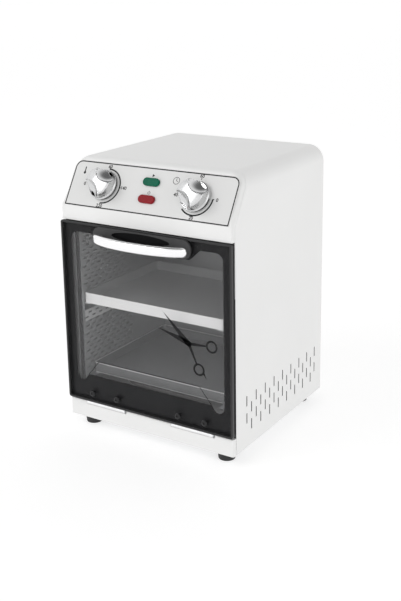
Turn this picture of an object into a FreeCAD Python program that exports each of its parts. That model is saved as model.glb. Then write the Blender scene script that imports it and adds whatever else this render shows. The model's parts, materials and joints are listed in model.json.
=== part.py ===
import FreeCAD, Part
import os
import re
import Sketcher

doc = FreeCAD.newDocument("DryHeatSterilizer")

# Driving dimensions in millimetres; angles in degrees; counts without a unit.
# Places are measured in the casing's own frame: X across from the middle, Y back from the
# casing's front, Z up from the casing's bottom. On the sloped face "rise" runs up the slope
# from the bend.
sizes = {
    # casing
    "casingWidth": 235,
    "casingDepth": 225,
    "casingHeight": 323,
    "casingGauge": 1,
    "topEdgeRadius": 20,
    "slopeRise": 55,
    "slopeAngle": 31,
    "frontTopRadius": 10,
    "frontEdgeRadius": 2.5,
    "seamDepth": 6,
    "seamGap": 0.2,
    "backFlangeWidth": 9,
    "lowerRailTop": 21.5,
    "upperRailHeight": 17,
    # clearances shared by many pieces
    "fitGap": 0.2,
    "seatGap": 0.3,
    "runningGap": 0.05,
    "cutOver": 2,
    # vent slots in the casing's sides
    "ventWidth": 1.8,
    "ventLength": 12.5,
    "ventFirstY": 30.5,
    "ventRearSpace": 19,
    "ventAbovePan": 11.5,
    "ventRowPitch": 10.6,
    "ventColumns": 17,
    # base pan, back panel, feet
    "panRim": 14,
    "panSlotLength": 50,
    "panSlotWidth": 3,
    "panSlotPitch": 12,
    "panSlotCount": 5,
    "backSlotLength": 60,
    "backSlotWidth": 3,
    "backSlotPitch": 8,
    "backSlotCount": 6,
    "backSlotRise": 6,
    "backScrewInset": 5.5,
    "backScrewRadius": 1.6,
    "backScrewHeadRadius": 3.4,
    "backScrewHeadHeight": 1.8,
    "backScrewLength": 8,
    "footHeight": 13.2,
    "footTopRadius": 11.4,
    "footBottomRadius": 9.8,
    "footSideInset": 20.6,
    "footFrontInset": 19.4,
    "footBackInset": 20,
    "footScrewRadius": 2,
    "footHeadRadius": 3.8,
    "footHeadHeight": 2.6,
    "footSinkRadius": 4.6,
    "footSinkDepth": 5,
    "footNutRadius": 4.2,
    "footNutHeight": 3.2,
    "footScrewReach": 5,
    # chamber
    "chamberFrameFront": 6.5,
    "chamberFrameGauge": 1.2,
    "chamberFrameFlange": 8,
    "sideSpace": 10.5,
    "linerAbovePan": 20,
    "rearSpace": 39,
    "linerGauge": 0.8,
    "mouthSill": 12,
    "coverDepth": 5.8,
    "coverGauge": 0.6,
    "coverInset": 1,
    "holeLengthShare": 0.515,
    "holeHeightShare": 0.407,
    "holeFieldDepthShare": 0.534,
    "holeFieldHeightShare": 0.857,
    "holeFrontMargin": 5.3,
    "holeLowShare": 0.115,
    "holeColumns": 7,
    "holeRows": 33,
    "traySideGap": 1.2,
    "trayWall": 0.8,
    "trayLip": 13,
    "trayFrontGap": 4.3,
    "trayRearSpace": 19,
    "trayCornerRadius": 4,
    "upperTrayShare": 0.534,
    "lowerTrayRise": 16,
    "lowerTraySetback": 13,
    "shelfRailReach": 10,
    "shelfRailDrop": 11,
    "shelfRailGauge": 1,
    "shelfRailFrontGap": 3.3,
    "shelfRailRearGap": 4,
    # heating elements
    "heaterRadius": 3.3,
    "heaterWidthShare": 0.566,
    "heaterSetback": 30.3,
    "heaterBend": 18,
    "lowerHeaterRise": 7,
    "upperHeaterDrop": 6,
    "heaterTail": 17,
    "bushRadius": 6,
    "bushLength": 8,
    "clipWidth": 12,
    "clipLength": 6,
    "clipEdge": 1.2,
    "clipFirstShare": 0.216,
    "clipPitchShare": 0.54,
    "clipCount": 2,
    # insulation and control deck
    "sideSlab": 8,
    "backSlab": 14,
    "bottomSlab": 12,
    "slabInset": 4,
    "sideSlabRise": 32,
    "topSlab": 13.2,
    "topSlabSetback": 12.3,
    "deckBelowBend": 12,
    "deckGauge": 1,
    "deckRim": 8,
    # controls on the sloped face
    "temperatureDialShare": 0.53,
    "timerDialShare": 0.545,
    "dialRiseShare": 0.452,
    "temperatureDialAngle": -36,
    "timerDialAngle": -36,
    "lampX": 0.7,
    "runLampShare": 0.623,
    "powerLampShare": 0.299,
    "lampLength": 22,
    "lampWidth": 9.5,
    "lampProud": 3,
    "lampEdgeRadius": 1,
    "lampBodyLength": 19,
    "lampBodyWidth": 6.6,
    "lampBodyDepth": 24,
    "overlaySideMargin": 4.3,
    "overlayBottom": 0.8,
    "overlayTopMargin": 0.5,
    "overlayCornerRadius": 9.5,
    "overlayThickness": 0.3,
    "knobRadius": 18.4,
    "knobSkirt": 7,
    "knobHeight": 19.5,
    "knobSkirtRound": 1.2,
    "gripRadius": 17,
    "gripHalfWaist": 2.6,
    "gripScoopRadius": 22,
    "gripScoopSink": 3,
    "gripDomeRadius": 60,
    "spindleRadius": 3,
    "spindleInKnob": 10,
    "spindleDepth": 22,
    "collarRadius": 5,
    "controlScrewRadius": 1.5,
    "controlScrewSpread": 12,
    "controlScrewLength": 6,
    "thermostatWidth": 38,
    "thermostatHeight": 32,
    "thermostatDepth": 28,
    "timerRadius": 18,
    "timerPlateWidth": 42,
    "timerPlateHeight": 30,
    "timerPlateGauge": 2,
    "timerDepth": 28,
    "bladeWidth": 6.3,
    "bladeGauge": 0.8,
    "bladeLength": 7,
    "bulbRadius": 2.5,
    "bulbLength": 70,
    "bulbOffset": 12.7,
    "bulbSetback": 32.3,
    "bulbDrop": 16,
    "capillaryRadius": 1,
    # other inner pieces
    "cutoutWidthShare": 0.377,
    "cutoutDepthShare": 0.518,
    "cutoutRadius": 8,
    "cutoutHeight": 9,
    "cutoutEarWidth": 24,
    "cutoutEarDepth": 8,
    "cutoutEarGauge": 1,
    "terminalShare": 0.664,
    "terminalFromBack": 29,
    "terminalLength": 40,
    "terminalWidth": 16,
    "terminalHeight": 13,
    "terminalHoleRadius": 2,
    "terminalPitch": 11,
    "glandShare": 0.68,
    "glandAboveDeck": 34,
    "glandFlangeRadius": 9,
    "glandReach": 4.5,
    "glandRadius": 6,
    "glandBore": 3.6,
    "glandTail": 11,
    "glandNutRadius": 9,
    "glandNutHeight": 5,
    "magnetHalfWidth": 14,
    "magnetDepth": 10,
    "magnetHeight": 3.2,
    "magnetDrop": 2,
    "strikeGauge": 0.6,
    # door
    "doorOverhang": 0.3,
    "doorLowerGap": 2,
    "doorUpperGap": 0.8,
    "doorProud": 2.6,
    "glassThickness": 4,
    "glassCornerRadius": 3,
    "doorFrameDepth": 3.3,
    "doorFrameSideInset": 3.3,
    "doorFrameEndInset": 1.1,
    "windowSill": 1,
    "windowCornerRadius": 6,
    "gasketWidth": 4,
    "gasketTopWidth": 2.2,
    "gasketInset": 1,
    # handle
    "handleLengthShare": 0.56,
    "handleFootLength": 14,
    "handleReach": 22.4,
    "handleThickness": 8.5,
    "handleHeight": 11.4,
    "handleDrop": 14.7,
    "handleRound": 3.2,
    "handleTipTrim": 1,
    "handleEndRadius": 5.2,
    "handleBoltInset": 8,
    "handleBoltRadius": 2,
    "handleBoltDepth": 5,
    "handleBoltHeadRadius": 3.8,
    "handleBoltHeadHeight": 2.4,
    "surroundMargin": 1.5,
    "surroundBelow": 9,
    "surroundAbove": 13,
    "surroundThickness": 3,
    "surroundCornerShare": 0.92,
    "recessLengthShare": 0.606,
    "recessHalfHeight": 5.6,
    "recessRise": 6,
    "recessDepth": 2.2,
    # hinges and door screws
    "hingeShare": 0.529,
    "hingeLength": 57,
    "knuckleRadius": 2.4,
    "hingeAxisY": 0.6,
    "hingeClearance": 0.5,
    "hingePinRadius": 1.2,
    "hingePinHeadRadius": 2,
    "hingePinHeadLength": 0.8,
    "leafGauge": 1.3,
    "endKnuckle": 15,
    "knuckleGap": 0.15,
    "doorLeafRise": 20,
    "fixedLeafRise": 3.6,
    "hingeRoom": 0.5,
    "doorScrewSpread": 36.5,
    "doorScrewRise": 11.5,
    "doorScrewRadius": 1.7,
    "doorScrewHeadRadius": 4,
    "doorScrewHeadHeight": 2,
    "doorScrewLength": 7.2,
}
sheet = doc.addObject("Spreadsheet::Sheet", "Dims")
for row, (name, number) in enumerate(sizes.items(), start=1):
    sheet.set(f"A{row}", name)
    sheet.set(f"B{row}", str(number))
    sheet.setAlias(f"B{row}", name)
doc.recompute()

# Places that follow from the driving dimensions.
derived = {
    "halfWidth": "casingWidth / 2",
    "bendHeight": "casingHeight - slopeRise",
    "upperRailBottom": "bendHeight - upperRailHeight",
    "deckHeight": "bendHeight - deckBelowBend",
    "deckFront": "chamberFrameBack + seatGap",
    "slopeLength": "slopeRise / cos(slopeAngle)",
    "ventColumnPitch": "(casingDepth - ventFirstY - ventRearSpace) / (ventColumns - 1)",
    "ventLowZ": "panRim + ventAbovePan",
    "backSlotLowZ": "deckHeight + backSlotRise",
    "linerHalfWidth": "innerHalf - sideSpace",
    "linerFloor": "panRim + linerAbovePan",
    "linerTop": "deckHeight - topSlab - linerGauge",
    "linerBack": "casingDepth - rearSpace",
    "chamberDepth": "linerBack - chamberFrameBack",
    "chamberHeight": "linerTop - linerFloor",
    "mouthBottom": "linerFloor + mouthSill",
    "coverFace": "linerHalfWidth - coverDepth",
    "holePitchY": "chamberDepth * holeFieldDepthShare / holeColumns",
    "holePitchZ": "chamberHeight * holeFieldHeightShare / holeRows",
    "holeLength": "holePitchY * holeLengthShare",
    "holeHeight": "holePitchZ * holeHeightShare",
    "holeFirstY": "coverFront + holeFrontMargin",
    "holeLowZ": "linerFloor + chamberHeight * holeLowShare",
    "trayHalfWidth": "coverFace - traySideGap",
    "upperTrayFront": "chamberFrameBack + trayFrontGap",
    "trayLength": "linerBack - trayRearSpace - upperTrayFront",
    "lowerTrayFront": "upperTrayFront + lowerTraySetback",
    "upperTrayBottom": "linerFloor + chamberHeight * upperTrayShare",
    "lowerTrayBottom": "linerFloor + lowerTrayRise",
    "shelfRailFront": "coverFront + shelfRailFrontGap",
    "shelfRailLength": "linerBack - shelfRailRearGap - shelfRailFront",
    "heaterHalfWidth": "linerHalfWidth * heaterWidthShare",
    "heaterFront": "chamberFrameBack + heaterSetback",
    "lowerHeaterZ": "linerFloor + lowerHeaterRise",
    "upperHeaterZ": "linerTop - upperHeaterDrop",
    "clipFirstY": "heaterFront + (linerBack - heaterFront) * clipFirstShare",
    "clipPitchY": "(linerBack - heaterFront) * clipPitchShare",
    "sideSlabBottom": "linerFloor + sideSlabRise",
    "topSlabFront": "chamberFrameBack + topSlabSetback",
    "temperatureDialX": "0 - halfWidth * temperatureDialShare",
    "timerDialX": "halfWidth * timerDialShare",
    "dialRise": "slopeLength * dialRiseShare",
    "runLampRise": "slopeLength * runLampShare",
    "powerLampRise": "slopeLength * powerLampShare",
    "overlayHalfWidth": "halfWidth - overlaySideMargin",
    "overlayTop": "slopeLength - frontTopRadius * tan((90 - slopeAngle) / 2) - overlayTopMargin",
    "bulbX": "temperatureDialX - bulbOffset",
    "bulbY": "chamberFrameBack + bulbSetback",
    "bulbZ": "linerTop - bulbDrop",
    "cutoutX": "linerHalfWidth * cutoutWidthShare",
    "cutoutY": "chamberFrameBack + chamberDepth * cutoutDepthShare",
    "terminalX": "halfWidth * terminalShare",
    "terminalY": "casingDepth - terminalFromBack",
    "glandX": "0 - halfWidth * glandShare",
    "glandZ": "deckHeight + glandAboveDeck",
    "magnetTop": "upperRailBottom - magnetDrop",
    "magnetBottom": "magnetTop - magnetHeight",
    "doorWidth": "casingWidth + 2 * doorOverhang",
    "doorBottom": "lowerRailTop + doorLowerGap",
    "doorTop": "upperRailBottom - doorUpperGap",
    "windowHalfWidth": "linerHalfWidth",
    "windowBottom": "mouthBottom + windowSill",
    "handleZ": "doorTop - handleDrop",
    "handleHalfLength": "doorWidth / 2 * handleLengthShare",
    "handleInnerHalfLength": "handleHalfLength - handleFootLength",
    "handleBoltX": "handleHalfLength - handleBoltInset",
    "surroundHalfLength": "handleHalfLength + surroundMargin",
    "surroundBottom": "handleZ - surroundBelow",
    "surroundTop": "handleZ + surroundAbove",
    "surroundCornerRadius": "(surroundBelow + surroundAbove) / 2 * surroundCornerShare",
    "recessHalfLength": "handleHalfLength * recessLengthShare",
    "recessZ": "handleZ + recessRise",
    "hingeX": "doorWidth / 2 * hingeShare",
    "hingeAxisZ": "doorBottom - knuckleRadius - hingeClearance",
    "fixedLeafDrop": "hingeAxisZ - casingGauge - fixedLeafRise",
    "doorScrewZ": "doorBottom + doorScrewRise",
    "innerHalf": "halfWidth - casingGauge",
    "fitHalf": "innerHalf - fitGap",
    "innerTop": "casingHeight - casingGauge",
    "slopeLean": "tan(slopeAngle)",
    "slopeRun": "(casingHeight - bendHeight) * slopeLean",
    "seamBack": "seamDepth + seamGap",
    "flangeFront": "casingDepth - 2 * casingGauge",
    "backFace": "casingDepth - casingGauge",
    "panFront": "seamDepth + fitGap",
    "panBack": "flangeFront - fitGap",
    "footX": "halfWidth - footSideInset",
    "chamberFrameBack": "chamberFrameFront + chamberFrameGauge",
    "linerOuterHalf": "linerHalfWidth + linerGauge",
    "linerOuterTop": "linerTop + linerGauge",
    "linerOuterBack": "linerBack + linerGauge",
    "linerOuterFloor": "linerFloor - linerGauge",
    "coverFront": "chamberFrameBack + coverInset",
    "coverBack": "linerBack - coverInset",
    "doorFace": "0 - doorProud",
    "glassBack": "glassThickness - doorProud",
    "doorFrameFront": "glassBack + seatGap",
    "doorFrameBack": "doorFrameFront + doorFrameDepth",
    "surroundFace": "doorFace - surroundThickness",
    "handleFront": "doorFace - handleReach",
    "hingeHalf": "hingeLength / 2",
    "windowTop": "handleZ + handleBoltHeadRadius + seatGap",
    "knobBottom": "overlayThickness + seatGap",
    "frameShift": "(handleFront + casingDepth + glandReach) / -2",
}


# Building helpers
def bound(text):
    """Turn a formula in the words of the tables above into an expression."""

    def swap(match):
        word = match.group(0)
        if word in derived:
            return "(" + bound(derived[word]) + ")"
        return "Dims." + word if word in sizes else word
    return re.sub(r"[A-Za-z_]\w*", swap, text)


def value(text):
    return float(sheet.evalExpression(bound(text)))


def bind(thing, field, text):
    thing.setExpression(field, bound(text))


def move(thing, x="0", y="0", z="0"):
    for axis, text in zip("xyz", (x, y, z)):
        bind(thing, f"Placement.Base.{axis}", text)
    return thing


def block(bounds):
    """Box between six bounds: low x, high x, low y, high y, low z, high z."""
    low_x, high_x, low_y, high_y, low_z, high_z = bounds.split(",")
    box = doc.addObject("Part::Box", "Block")
    bind(box, "Length", f"({high_x}) - ({low_x})")
    bind(box, "Width", f"({high_y}) - ({low_y})")
    bind(box, "Height", f"({high_z}) - ({low_z})")
    return move(box, low_x, low_y, low_z)


turns = {
    "X": FreeCAD.Rotation(FreeCAD.Vector(0, 1, 0), 90),
    "Y": FreeCAD.Rotation(FreeCAD.Vector(1, 0, 0), -90),
    "Z": FreeCAD.Rotation(),
}


def rod(axis, centre, span, radius, kind="Part::Cylinder"):
    """Round bar along an axis; centre gives the other two places, span the ends."""
    low, high = span.split(",")
    first, second = centre.split(",")
    bar = doc.addObject(kind, "Rod")
    if kind == "Part::Prism":
        bind(bar, "Circumradius", radius)
    else:
        bind(bar, "Radius", radius)
    bind(bar, "Height", f"({high}) - ({low})")
    bar.Placement = FreeCAD.Placement(FreeCAD.Vector(), turns[axis])
    place = {"X": (low, first, second), "Y": (first, low, second), "Z": (first, second, low)}[axis]
    return move(bar, *place)


def group(things):
    gathered = doc.addObject("Part::Compound", "Group")
    gathered.Links = things
    return gathered


def fuse(things):
    joined = doc.addObject("Part::MultiFuse", "Fusion")
    joined.Shapes = things
    return joined


def cut(base, tools):
    carved = doc.addObject("Part::Cut", "Cut")
    carved.Base = base
    carved.Tool = tools[0] if len(tools) == 1 else group(tools)
    return carved


def common(first, second):
    shared = doc.addObject("Part::Common", "Common")
    shared.Base = first
    shared.Tool = second
    return shared


def outline(body, plane, corners, lift):
    """Closed sketch of straight lines on an origin plane, every corner bound to the sheet."""
    sketch = body.newObject("Sketcher::SketchObject", "Sketch")
    support = [part for part in body.Origin.OriginFeatures if part.Role == plane + "_Plane"][0]
    sketch.AttachmentSupport = [(support, "")]
    sketch.MapMode = "FlatFace"
    bind(sketch, "AttachmentOffset.Base.z", lift)
    points = [[text.strip() for text in corner.split(",")] for corner in corners]
    spots = [FreeCAD.Vector(value(across), value(up), 0) for across, up in points]
    ends = spots[1:] + spots[:1]
    sketch.addGeometry([Part.LineSegment(start, end) for start, end in zip(spots, ends)])
    for index in range(len(points)):
        following = (index + 1) % len(points)
        sketch.addConstraint(Sketcher.Constraint("Coincident", index, 2, following, 1))
    for index, (point, spot) in enumerate(zip(points, spots)):
        for kind, text, reach, far_axis in (
            ("DistanceX", point[0], spot.x, -2),
            ("DistanceY", point[1], spot.y, -1),
        ):
            if text == "0":
                sketch.addConstraint(Sketcher.Constraint("PointOnObject", index, 1, far_axis))
                continue
            number = sketch.addConstraint(Sketcher.Constraint(kind, -1, 1, index, 1, reach))
            sketch.setExpression(f"Constraints[{number}]", bound(text))
    return sketch


def prism(plane, corners, span):
    """Padded outline; span gives its two ends along the plane's own axis."""
    low, high = span.split(",")
    body = doc.addObject("PartDesign::Body", "Body")
    lift = f"0 - ({high})" if plane == "XZ" else low
    sketch = outline(body, plane, corners, lift)
    pad = body.newObject("PartDesign::Pad", "Pad")
    pad.Profile = sketch
    bind(pad, "Length", f"({high}) - ({low})")
    doc.recompute()
    return body


def turned(corners):
    """Outline in the XZ plane turned once round the upright axis."""
    body = doc.addObject("PartDesign::Body", "Body")
    sketch = outline(body, "XZ", corners, "0")
    turning = body.newObject("PartDesign::Revolution", "Revolution")
    turning.Profile = sketch
    turning.ReferenceAxis = (sketch, ["V_Axis"])
    turning.Angle = 360
    doc.recompute()
    return body


def rounded(body, radius, rule):
    """Fillet on the edges of a body's last feature that a rule picks."""
    doc.recompute()
    feature = body.Tip
    names = [f"Edge{i}" for i, edge in enumerate(feature.Shape.Edges, start=1) if rule(edge)]
    fillet = body.newObject("PartDesign::Fillet", "Fillet")
    fillet.Base = (feature, names)
    bind(fillet, "Radius", radius)
    doc.recompute()
    return body


def along(edge, axis):
    """True for a straight edge that runs along the axis."""
    start, end = edge.valueAt(edge.FirstParameter), edge.valueAt(edge.LastParameter)
    reach = (end - start).Length
    straight = reach > 0 and abs(edge.Length / reach - 1) < 0.0001
    return straight and abs((end - start).dot(axis)) > 0.999 * reach


def middle(edge):
    return edge.valueAt((edge.FirstParameter + edge.LastParameter) / 2)


axis_x = FreeCAD.Vector(1, 0, 0)
axis_y = FreeCAD.Vector(0, 1, 0)
axis_z = FreeCAD.Vector(0, 0, 1)
nodes = []


def tilt(thing):
    """Carry a piece built in the sloped face's frame to its place in the casing's frame."""
    thing.Placement = FreeCAD.Placement(
        FreeCAD.Vector(), FreeCAD.Rotation(axis_x, 90 - sizes["slopeAngle"])
    )
    bind(thing, "Placement.Rotation.Angle", "90 - slopeAngle")
    return move(thing, z="bendHeight")


def node(label, thing):
    """Name a finished piece and carry it from the casing's frame to the object's own."""
    if not (thing.TypeId.startswith("PartDesign") or thing.TypeId == "Part::Cut"):
        thing = group([thing])
    move(thing, y="frameShift", z="footHeight")
    thing.Label = label
    nodes.append(thing)
    return thing


def face_node(label, thing):
    """The same for a piece that is built in the sloped face's frame."""
    thing = tilt(group([thing]))
    move(thing, y="frameShift", z="bendHeight + footHeight")
    thing.Label = label
    nodes.append(thing)
    return thing


sides = ("-1", "1")


# Casing
def hood(gauge, low, back):
    """Solid of the casing's outside, or of its inside when gauge is the sheet's thickness."""
    profile = prism("YZ", [
        f"{gauge}, {low}",
        f"{back}, {low}",
        f"{back}, casingHeight - {gauge}",
        f"slopeRun + {gauge} * tan((90 - slopeAngle) / 2), casingHeight - {gauge}",
        f"{gauge}, bendHeight - {gauge} * tan(slopeAngle / 2)",
    ], f"{gauge} - halfWidth, halfWidth - {gauge}")
    top = value(f"casingHeight - {gauge}") - 0.001
    across = prism("XZ", [
        f"{gauge} - halfWidth, {low}",
        f"halfWidth - {gauge}, {low}",
        f"halfWidth - {gauge}, casingHeight - {gauge}",
        f"{gauge} - halfWidth, casingHeight - {gauge}",
    ], f"0 - cutOver, {back} + cutOver")
    rounded(across, f"topEdgeRadius - {gauge}",
            lambda edge: along(edge, axis_y) and middle(edge).z > top)
    solid = common(profile, across)
    doc.recompute()
    side = value(f"frontEdgeRadius - {gauge}")
    front = value(f"frontTopRadius - {gauge}")
    rounds = []
    for index, edge in enumerate(solid.Shape.Edges, start=1):
        spot = middle(edge)
        behind = spot.y > value("slopeRun + cutOver") or along(edge, axis_y)
        bend = along(edge, axis_x) and spot.z < top
        if behind or bend:
            continue
        ends = edge.valueAt(edge.FirstParameter), edge.valueAt(edge.LastParameter)
        rounds.append((index, *(front if end.z > top else side for end in ends)))
    softened = doc.addObject("Part::Fillet", "Fillet")
    softened.Base = solid
    softened.Edges = rounds
    return softened


outside = hood("0", "0", "casingDepth")
inside = hood("casingGauge", "0 - cutOver", "casingDepth + cutOver")
behindSeam = prism("YZ", [
    "seamBack, 0 - cutOver",
    "casingDepth + cutOver, 0 - cutOver",
    "casingDepth + cutOver, casingHeight + cutOver",
    "slopeRun + cutOver * slopeLean + seamBack / cos(slopeAngle), casingHeight + cutOver",
    "seamBack, bendHeight - seamBack * tan(slopeAngle / 2)",
], "0 - casingWidth, casingWidth")
aheadOfSeam = prism("YZ", [
    "0 - cutOver, upperRailBottom",
    "seamDepth, upperRailBottom",
    "seamDepth, bendHeight - seamDepth * tan(slopeAngle / 2)",
    "slopeRun + cutOver * slopeLean + seamDepth / cos(slopeAngle), casingHeight + cutOver",
    "0 - cutOver, casingHeight + cutOver",
], "0 - casingWidth, casingWidth")


def rearOutline(inset, span):
    """Plate across the casing's back, inset from the inside of its walls."""
    plate = prism("XZ", [
        f"{inset} - innerHalf, 0",
        f"innerHalf - {inset}, 0",
        f"innerHalf - {inset}, innerTop - {inset}",
        f"{inset} - innerHalf, innerTop - {inset}",
    ], span)
    top = value(f"innerTop - {inset}") - 0.001
    return rounded(plate, f"topEdgeRadius - casingGauge - {inset}",
                   lambda edge: along(edge, axis_y) and middle(edge).z > top)


def backScrewPlaces():
    """Centres of the screws round the back panel, as pairs of formulas."""
    across = "innerHalf - backScrewInset"
    heights = ("innerTop * 0.08", "innerTop * 0.5", "innerTop * 0.88")
    places = [(f"{side} * ({across})", height) for side in sides for height in heights]
    return places + [(f"{side} * innerHalf * 0.4", "innerTop - backScrewInset") for side in sides]


ventSlots = []
for column in range(sizes["ventColumns"]):
    for row in ((1, 3) if column % 2 == 0 else (0, 2)):
        alongY = f"ventFirstY + {column} * ventColumnPitch"
        upZ = f"ventLowZ + {row} * ventRowPitch"
        ventSlots.append(block(
            f"0 - casingWidth, casingWidth, {alongY} - ventWidth / 2, {alongY} + ventWidth / 2,"
            f"{upZ} - ventLength / 2, {upZ} + ventLength / 2"
        ))
backScrewHoles = [
    rod("Y", f"{x}, {z}", "flangeFront - cutOver, casingDepth + cutOver", "backScrewRadius + runningGap")
    for x, z in backScrewPlaces()
]
wrap = cut(common(outside, behindSeam), [inside])
flange = cut(rearOutline("0", "flangeFront, backFace"),
             [rearOutline("backFlangeWidth", "flangeFront - cutOver, backFace + cutOver"),
              block("0 - casingWidth, casingWidth, 0, casingDepth, 0 - cutOver, casingGauge + fitGap")])
node("outer_casing", cut(fuse([wrap, flange]), ventSlots + backScrewHoles))

# Holes through the sloped face, in its own frame
dials = {"temperature": "temperatureDialX", "timer": "timerDialX"}
lamps = {"run": "runLampRise", "power": "powerLampRise"}


def dialHoles(radius, span):
    return [rod("Z", f"{x}, dialRise", span, radius) for x in dials.values()]


def controlScrews(radius, span):
    return [
        rod("Z", f"{x} + {side} * controlScrewSpread, dialRise", span, radius)
        for x in dials.values() for side in sides
    ]


def lampBlocks(grow, span):
    return [
        block(f"lampX - lampBodyLength / 2 - {grow}, lampX + lampBodyLength / 2 + {grow},"
              f"{rise} - lampBodyWidth / 2 - {grow}, {rise} + lampBodyWidth / 2 + {grow}, {span}")
        for rise in lamps.values()
    ]


faceSpan = "0 - casingGauge - cutOver, overlayThickness + cutOver"
faceHoles = (dialHoles("collarRadius + seatGap", faceSpan)
             + controlScrews("controlScrewRadius + runningGap", faceSpan)
             + lampBlocks("fitGap", faceSpan))
fasciaInside = common(inside, block(
    "0 - casingWidth, casingWidth, 0, casingDepth, upperRailBottom + casingGauge, casingHeight"))
node("control_fascia", cut(common(outside, aheadOfSeam), [fasciaInside, tilt(group(faceHoles))]))

railBlock = block("0 - casingWidth, casingWidth, 0 - cutOver, seamDepth, 0, lowerRailTop")
hingeNotches = [
    block(f"{side} * hingeX - hingeHalf - hingePinHeadLength - hingeRoom,"
          f"{side} * hingeX + hingeHalf + hingePinHeadLength + hingeRoom,"
          "0 - cutOver, hingeAxisY + knuckleRadius + hingeRoom,"
          "hingeAxisZ - knuckleRadius - hingeRoom, lowerRailTop + cutOver")
    for side in sides
]
node("lower_rail", cut(common(outside, railBlock), [
    block("0 - innerHalf, innerHalf, casingGauge, seamDepth + cutOver, casingGauge,"
          "lowerRailTop - casingGauge"),
] + hingeNotches))

footPlaces = {
    "front_left": ("0 - footX", "footFrontInset"),
    "front_right": ("footX", "footFrontInset"),
    "rear_left": ("0 - footX", "casingDepth - footBackInset"),
    "rear_right": ("footX", "casingDepth - footBackInset"),
}
panSlots = [
    block(f"0 - panSlotLength / 2, panSlotLength / 2,"
          f"casingDepth / 2 + ({number} - panSlotCount / 2) * panSlotPitch,"
          f"casingDepth / 2 + ({number} - panSlotCount / 2) * panSlotPitch + panSlotWidth,"
          "0 - cutOver, casingGauge + cutOver")
    for number in range(sizes["panSlotCount"])
]
node("base_pan", cut(block("0 - fitHalf, fitHalf, panFront, panBack, 0, panRim"), [
    block("casingGauge - fitHalf, fitHalf - casingGauge, panFront + casingGauge,"
          "panBack - casingGauge, casingGauge, panRim + cutOver"),
] + panSlots + [
    rod("Z", f"{x}, {y}", "0 - cutOver, casingGauge + cutOver", "footScrewRadius + runningGap")
    for x, y in footPlaces.values()
]))

backSlots = [
    block(f"0 - backSlotLength / 2, backSlotLength / 2, backFace - cutOver, casingDepth + cutOver,"
          f"backSlotLowZ + {number} * backSlotPitch, backSlotLowZ + {number} * backSlotPitch + backSlotWidth")
    for number in range(sizes["backSlotCount"])
]
gland = "glandX, glandZ"
node("back_panel", cut(rearOutline("fitGap", "backFace, casingDepth"),
                       backSlots + [
    rod("Y", f"{x}, {z}", "backFace - cutOver, casingDepth + cutOver", "backScrewRadius + runningGap")
    for x, z in backScrewPlaces()
] + [rod("Y", gland, "backFace - cutOver, casingDepth + cutOver", "glandRadius + runningGap")]))
node("back_screws", group([
    fuse([rod("Y", f"{x}, {z}", "casingDepth - backScrewLength, casingDepth", "backScrewRadius"),
          rod("Y", f"{x}, {z}", "casingDepth, casingDepth + backScrewHeadHeight", "backScrewHeadRadius")])
    for x, z in backScrewPlaces()
]))

# Feet
footShape = [
    "footScrewRadius + runningGap, 0",
    "footTopRadius, 0",
    "footBottomRadius, 0 - footHeight",
    "footSinkRadius, 0 - footHeight",
    "footSinkRadius, 0 - footHeight + footSinkDepth",
    "footScrewRadius + runningGap, 0 - footHeight + footSinkDepth",
]
for name, (x, y) in footPlaces.items():
    foot = node(f"foot_{name}", turned(footShape))
    move(foot, x, f"({y}) + frameShift", "footHeight")
sink = "0 - footHeight + footSinkDepth"
node("foot_fasteners", group([
    fastener for x, y in footPlaces.values() for fastener in (
        fuse([rod("Z", f"{x}, {y}", f"{sink}, casingGauge + footScrewReach", "footScrewRadius"),
              rod("Z", f"{x}, {y}", f"{sink} - footHeadHeight, {sink}", "footHeadRadius")]),
        cut(rod("Z", f"{x}, {y}", "casingGauge, casingGauge + footNutHeight", "footNutRadius", "Part::Prism"),
            [rod("Z", f"{x}, {y}", "0, casingGauge + footNutHeight + cutOver",
                 "footScrewRadius + runningGap")]),
    )
]))

# Chamber
magnetRoom = block("0 - magnetHalfWidth - fitGap, magnetHalfWidth + fitGap, 0, linerBack,"
                   "magnetBottom - fitGap, magnetTop + fitGap")
mouth = prism("XZ", [
    "0 - linerHalfWidth, mouthBottom",
    "linerHalfWidth, mouthBottom",
    "linerHalfWidth, linerTop",
    "0 - linerHalfWidth, linerTop",
], "0, linerBack")
frameRim = cut(block("0 - fitHalf, fitHalf, chamberFrameFront, chamberFrameBack + chamberFrameFlange,"
                     "lowerRailTop + seatGap, upperRailBottom - seatGap"),
               [block("chamberFrameGauge - fitHalf, fitHalf - chamberFrameGauge, chamberFrameBack,"
                      "casingDepth, 0, casingHeight")])
node("chamber_frame", cut(frameRim, [mouth, magnetRoom]))
heaterPlaces = [(f"{side} * heaterHalfWidth", height) for side in sides
                for height in ("lowerHeaterZ", "upperHeaterZ")]
heaterBores = [
    rod("Y", f"{x}, {z}", "linerBack - cutOver, casingDepth", "heaterRadius + runningGap")
    for x, z in heaterPlaces
]
capillaryBore = rod("Z", "bulbX, bulbY", "bulbZ, casingHeight", "capillaryRadius + seatGap")
node("chamber_liner", cut(
    block("0 - linerOuterHalf, linerOuterHalf, chamberFrameBack, linerOuterBack,"
          "linerOuterFloor, linerOuterTop"),
    [block("0 - linerHalfWidth, linerHalfWidth, 0, linerBack, linerFloor, linerTop"), capillaryBore]
    + heaterBores))
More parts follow.
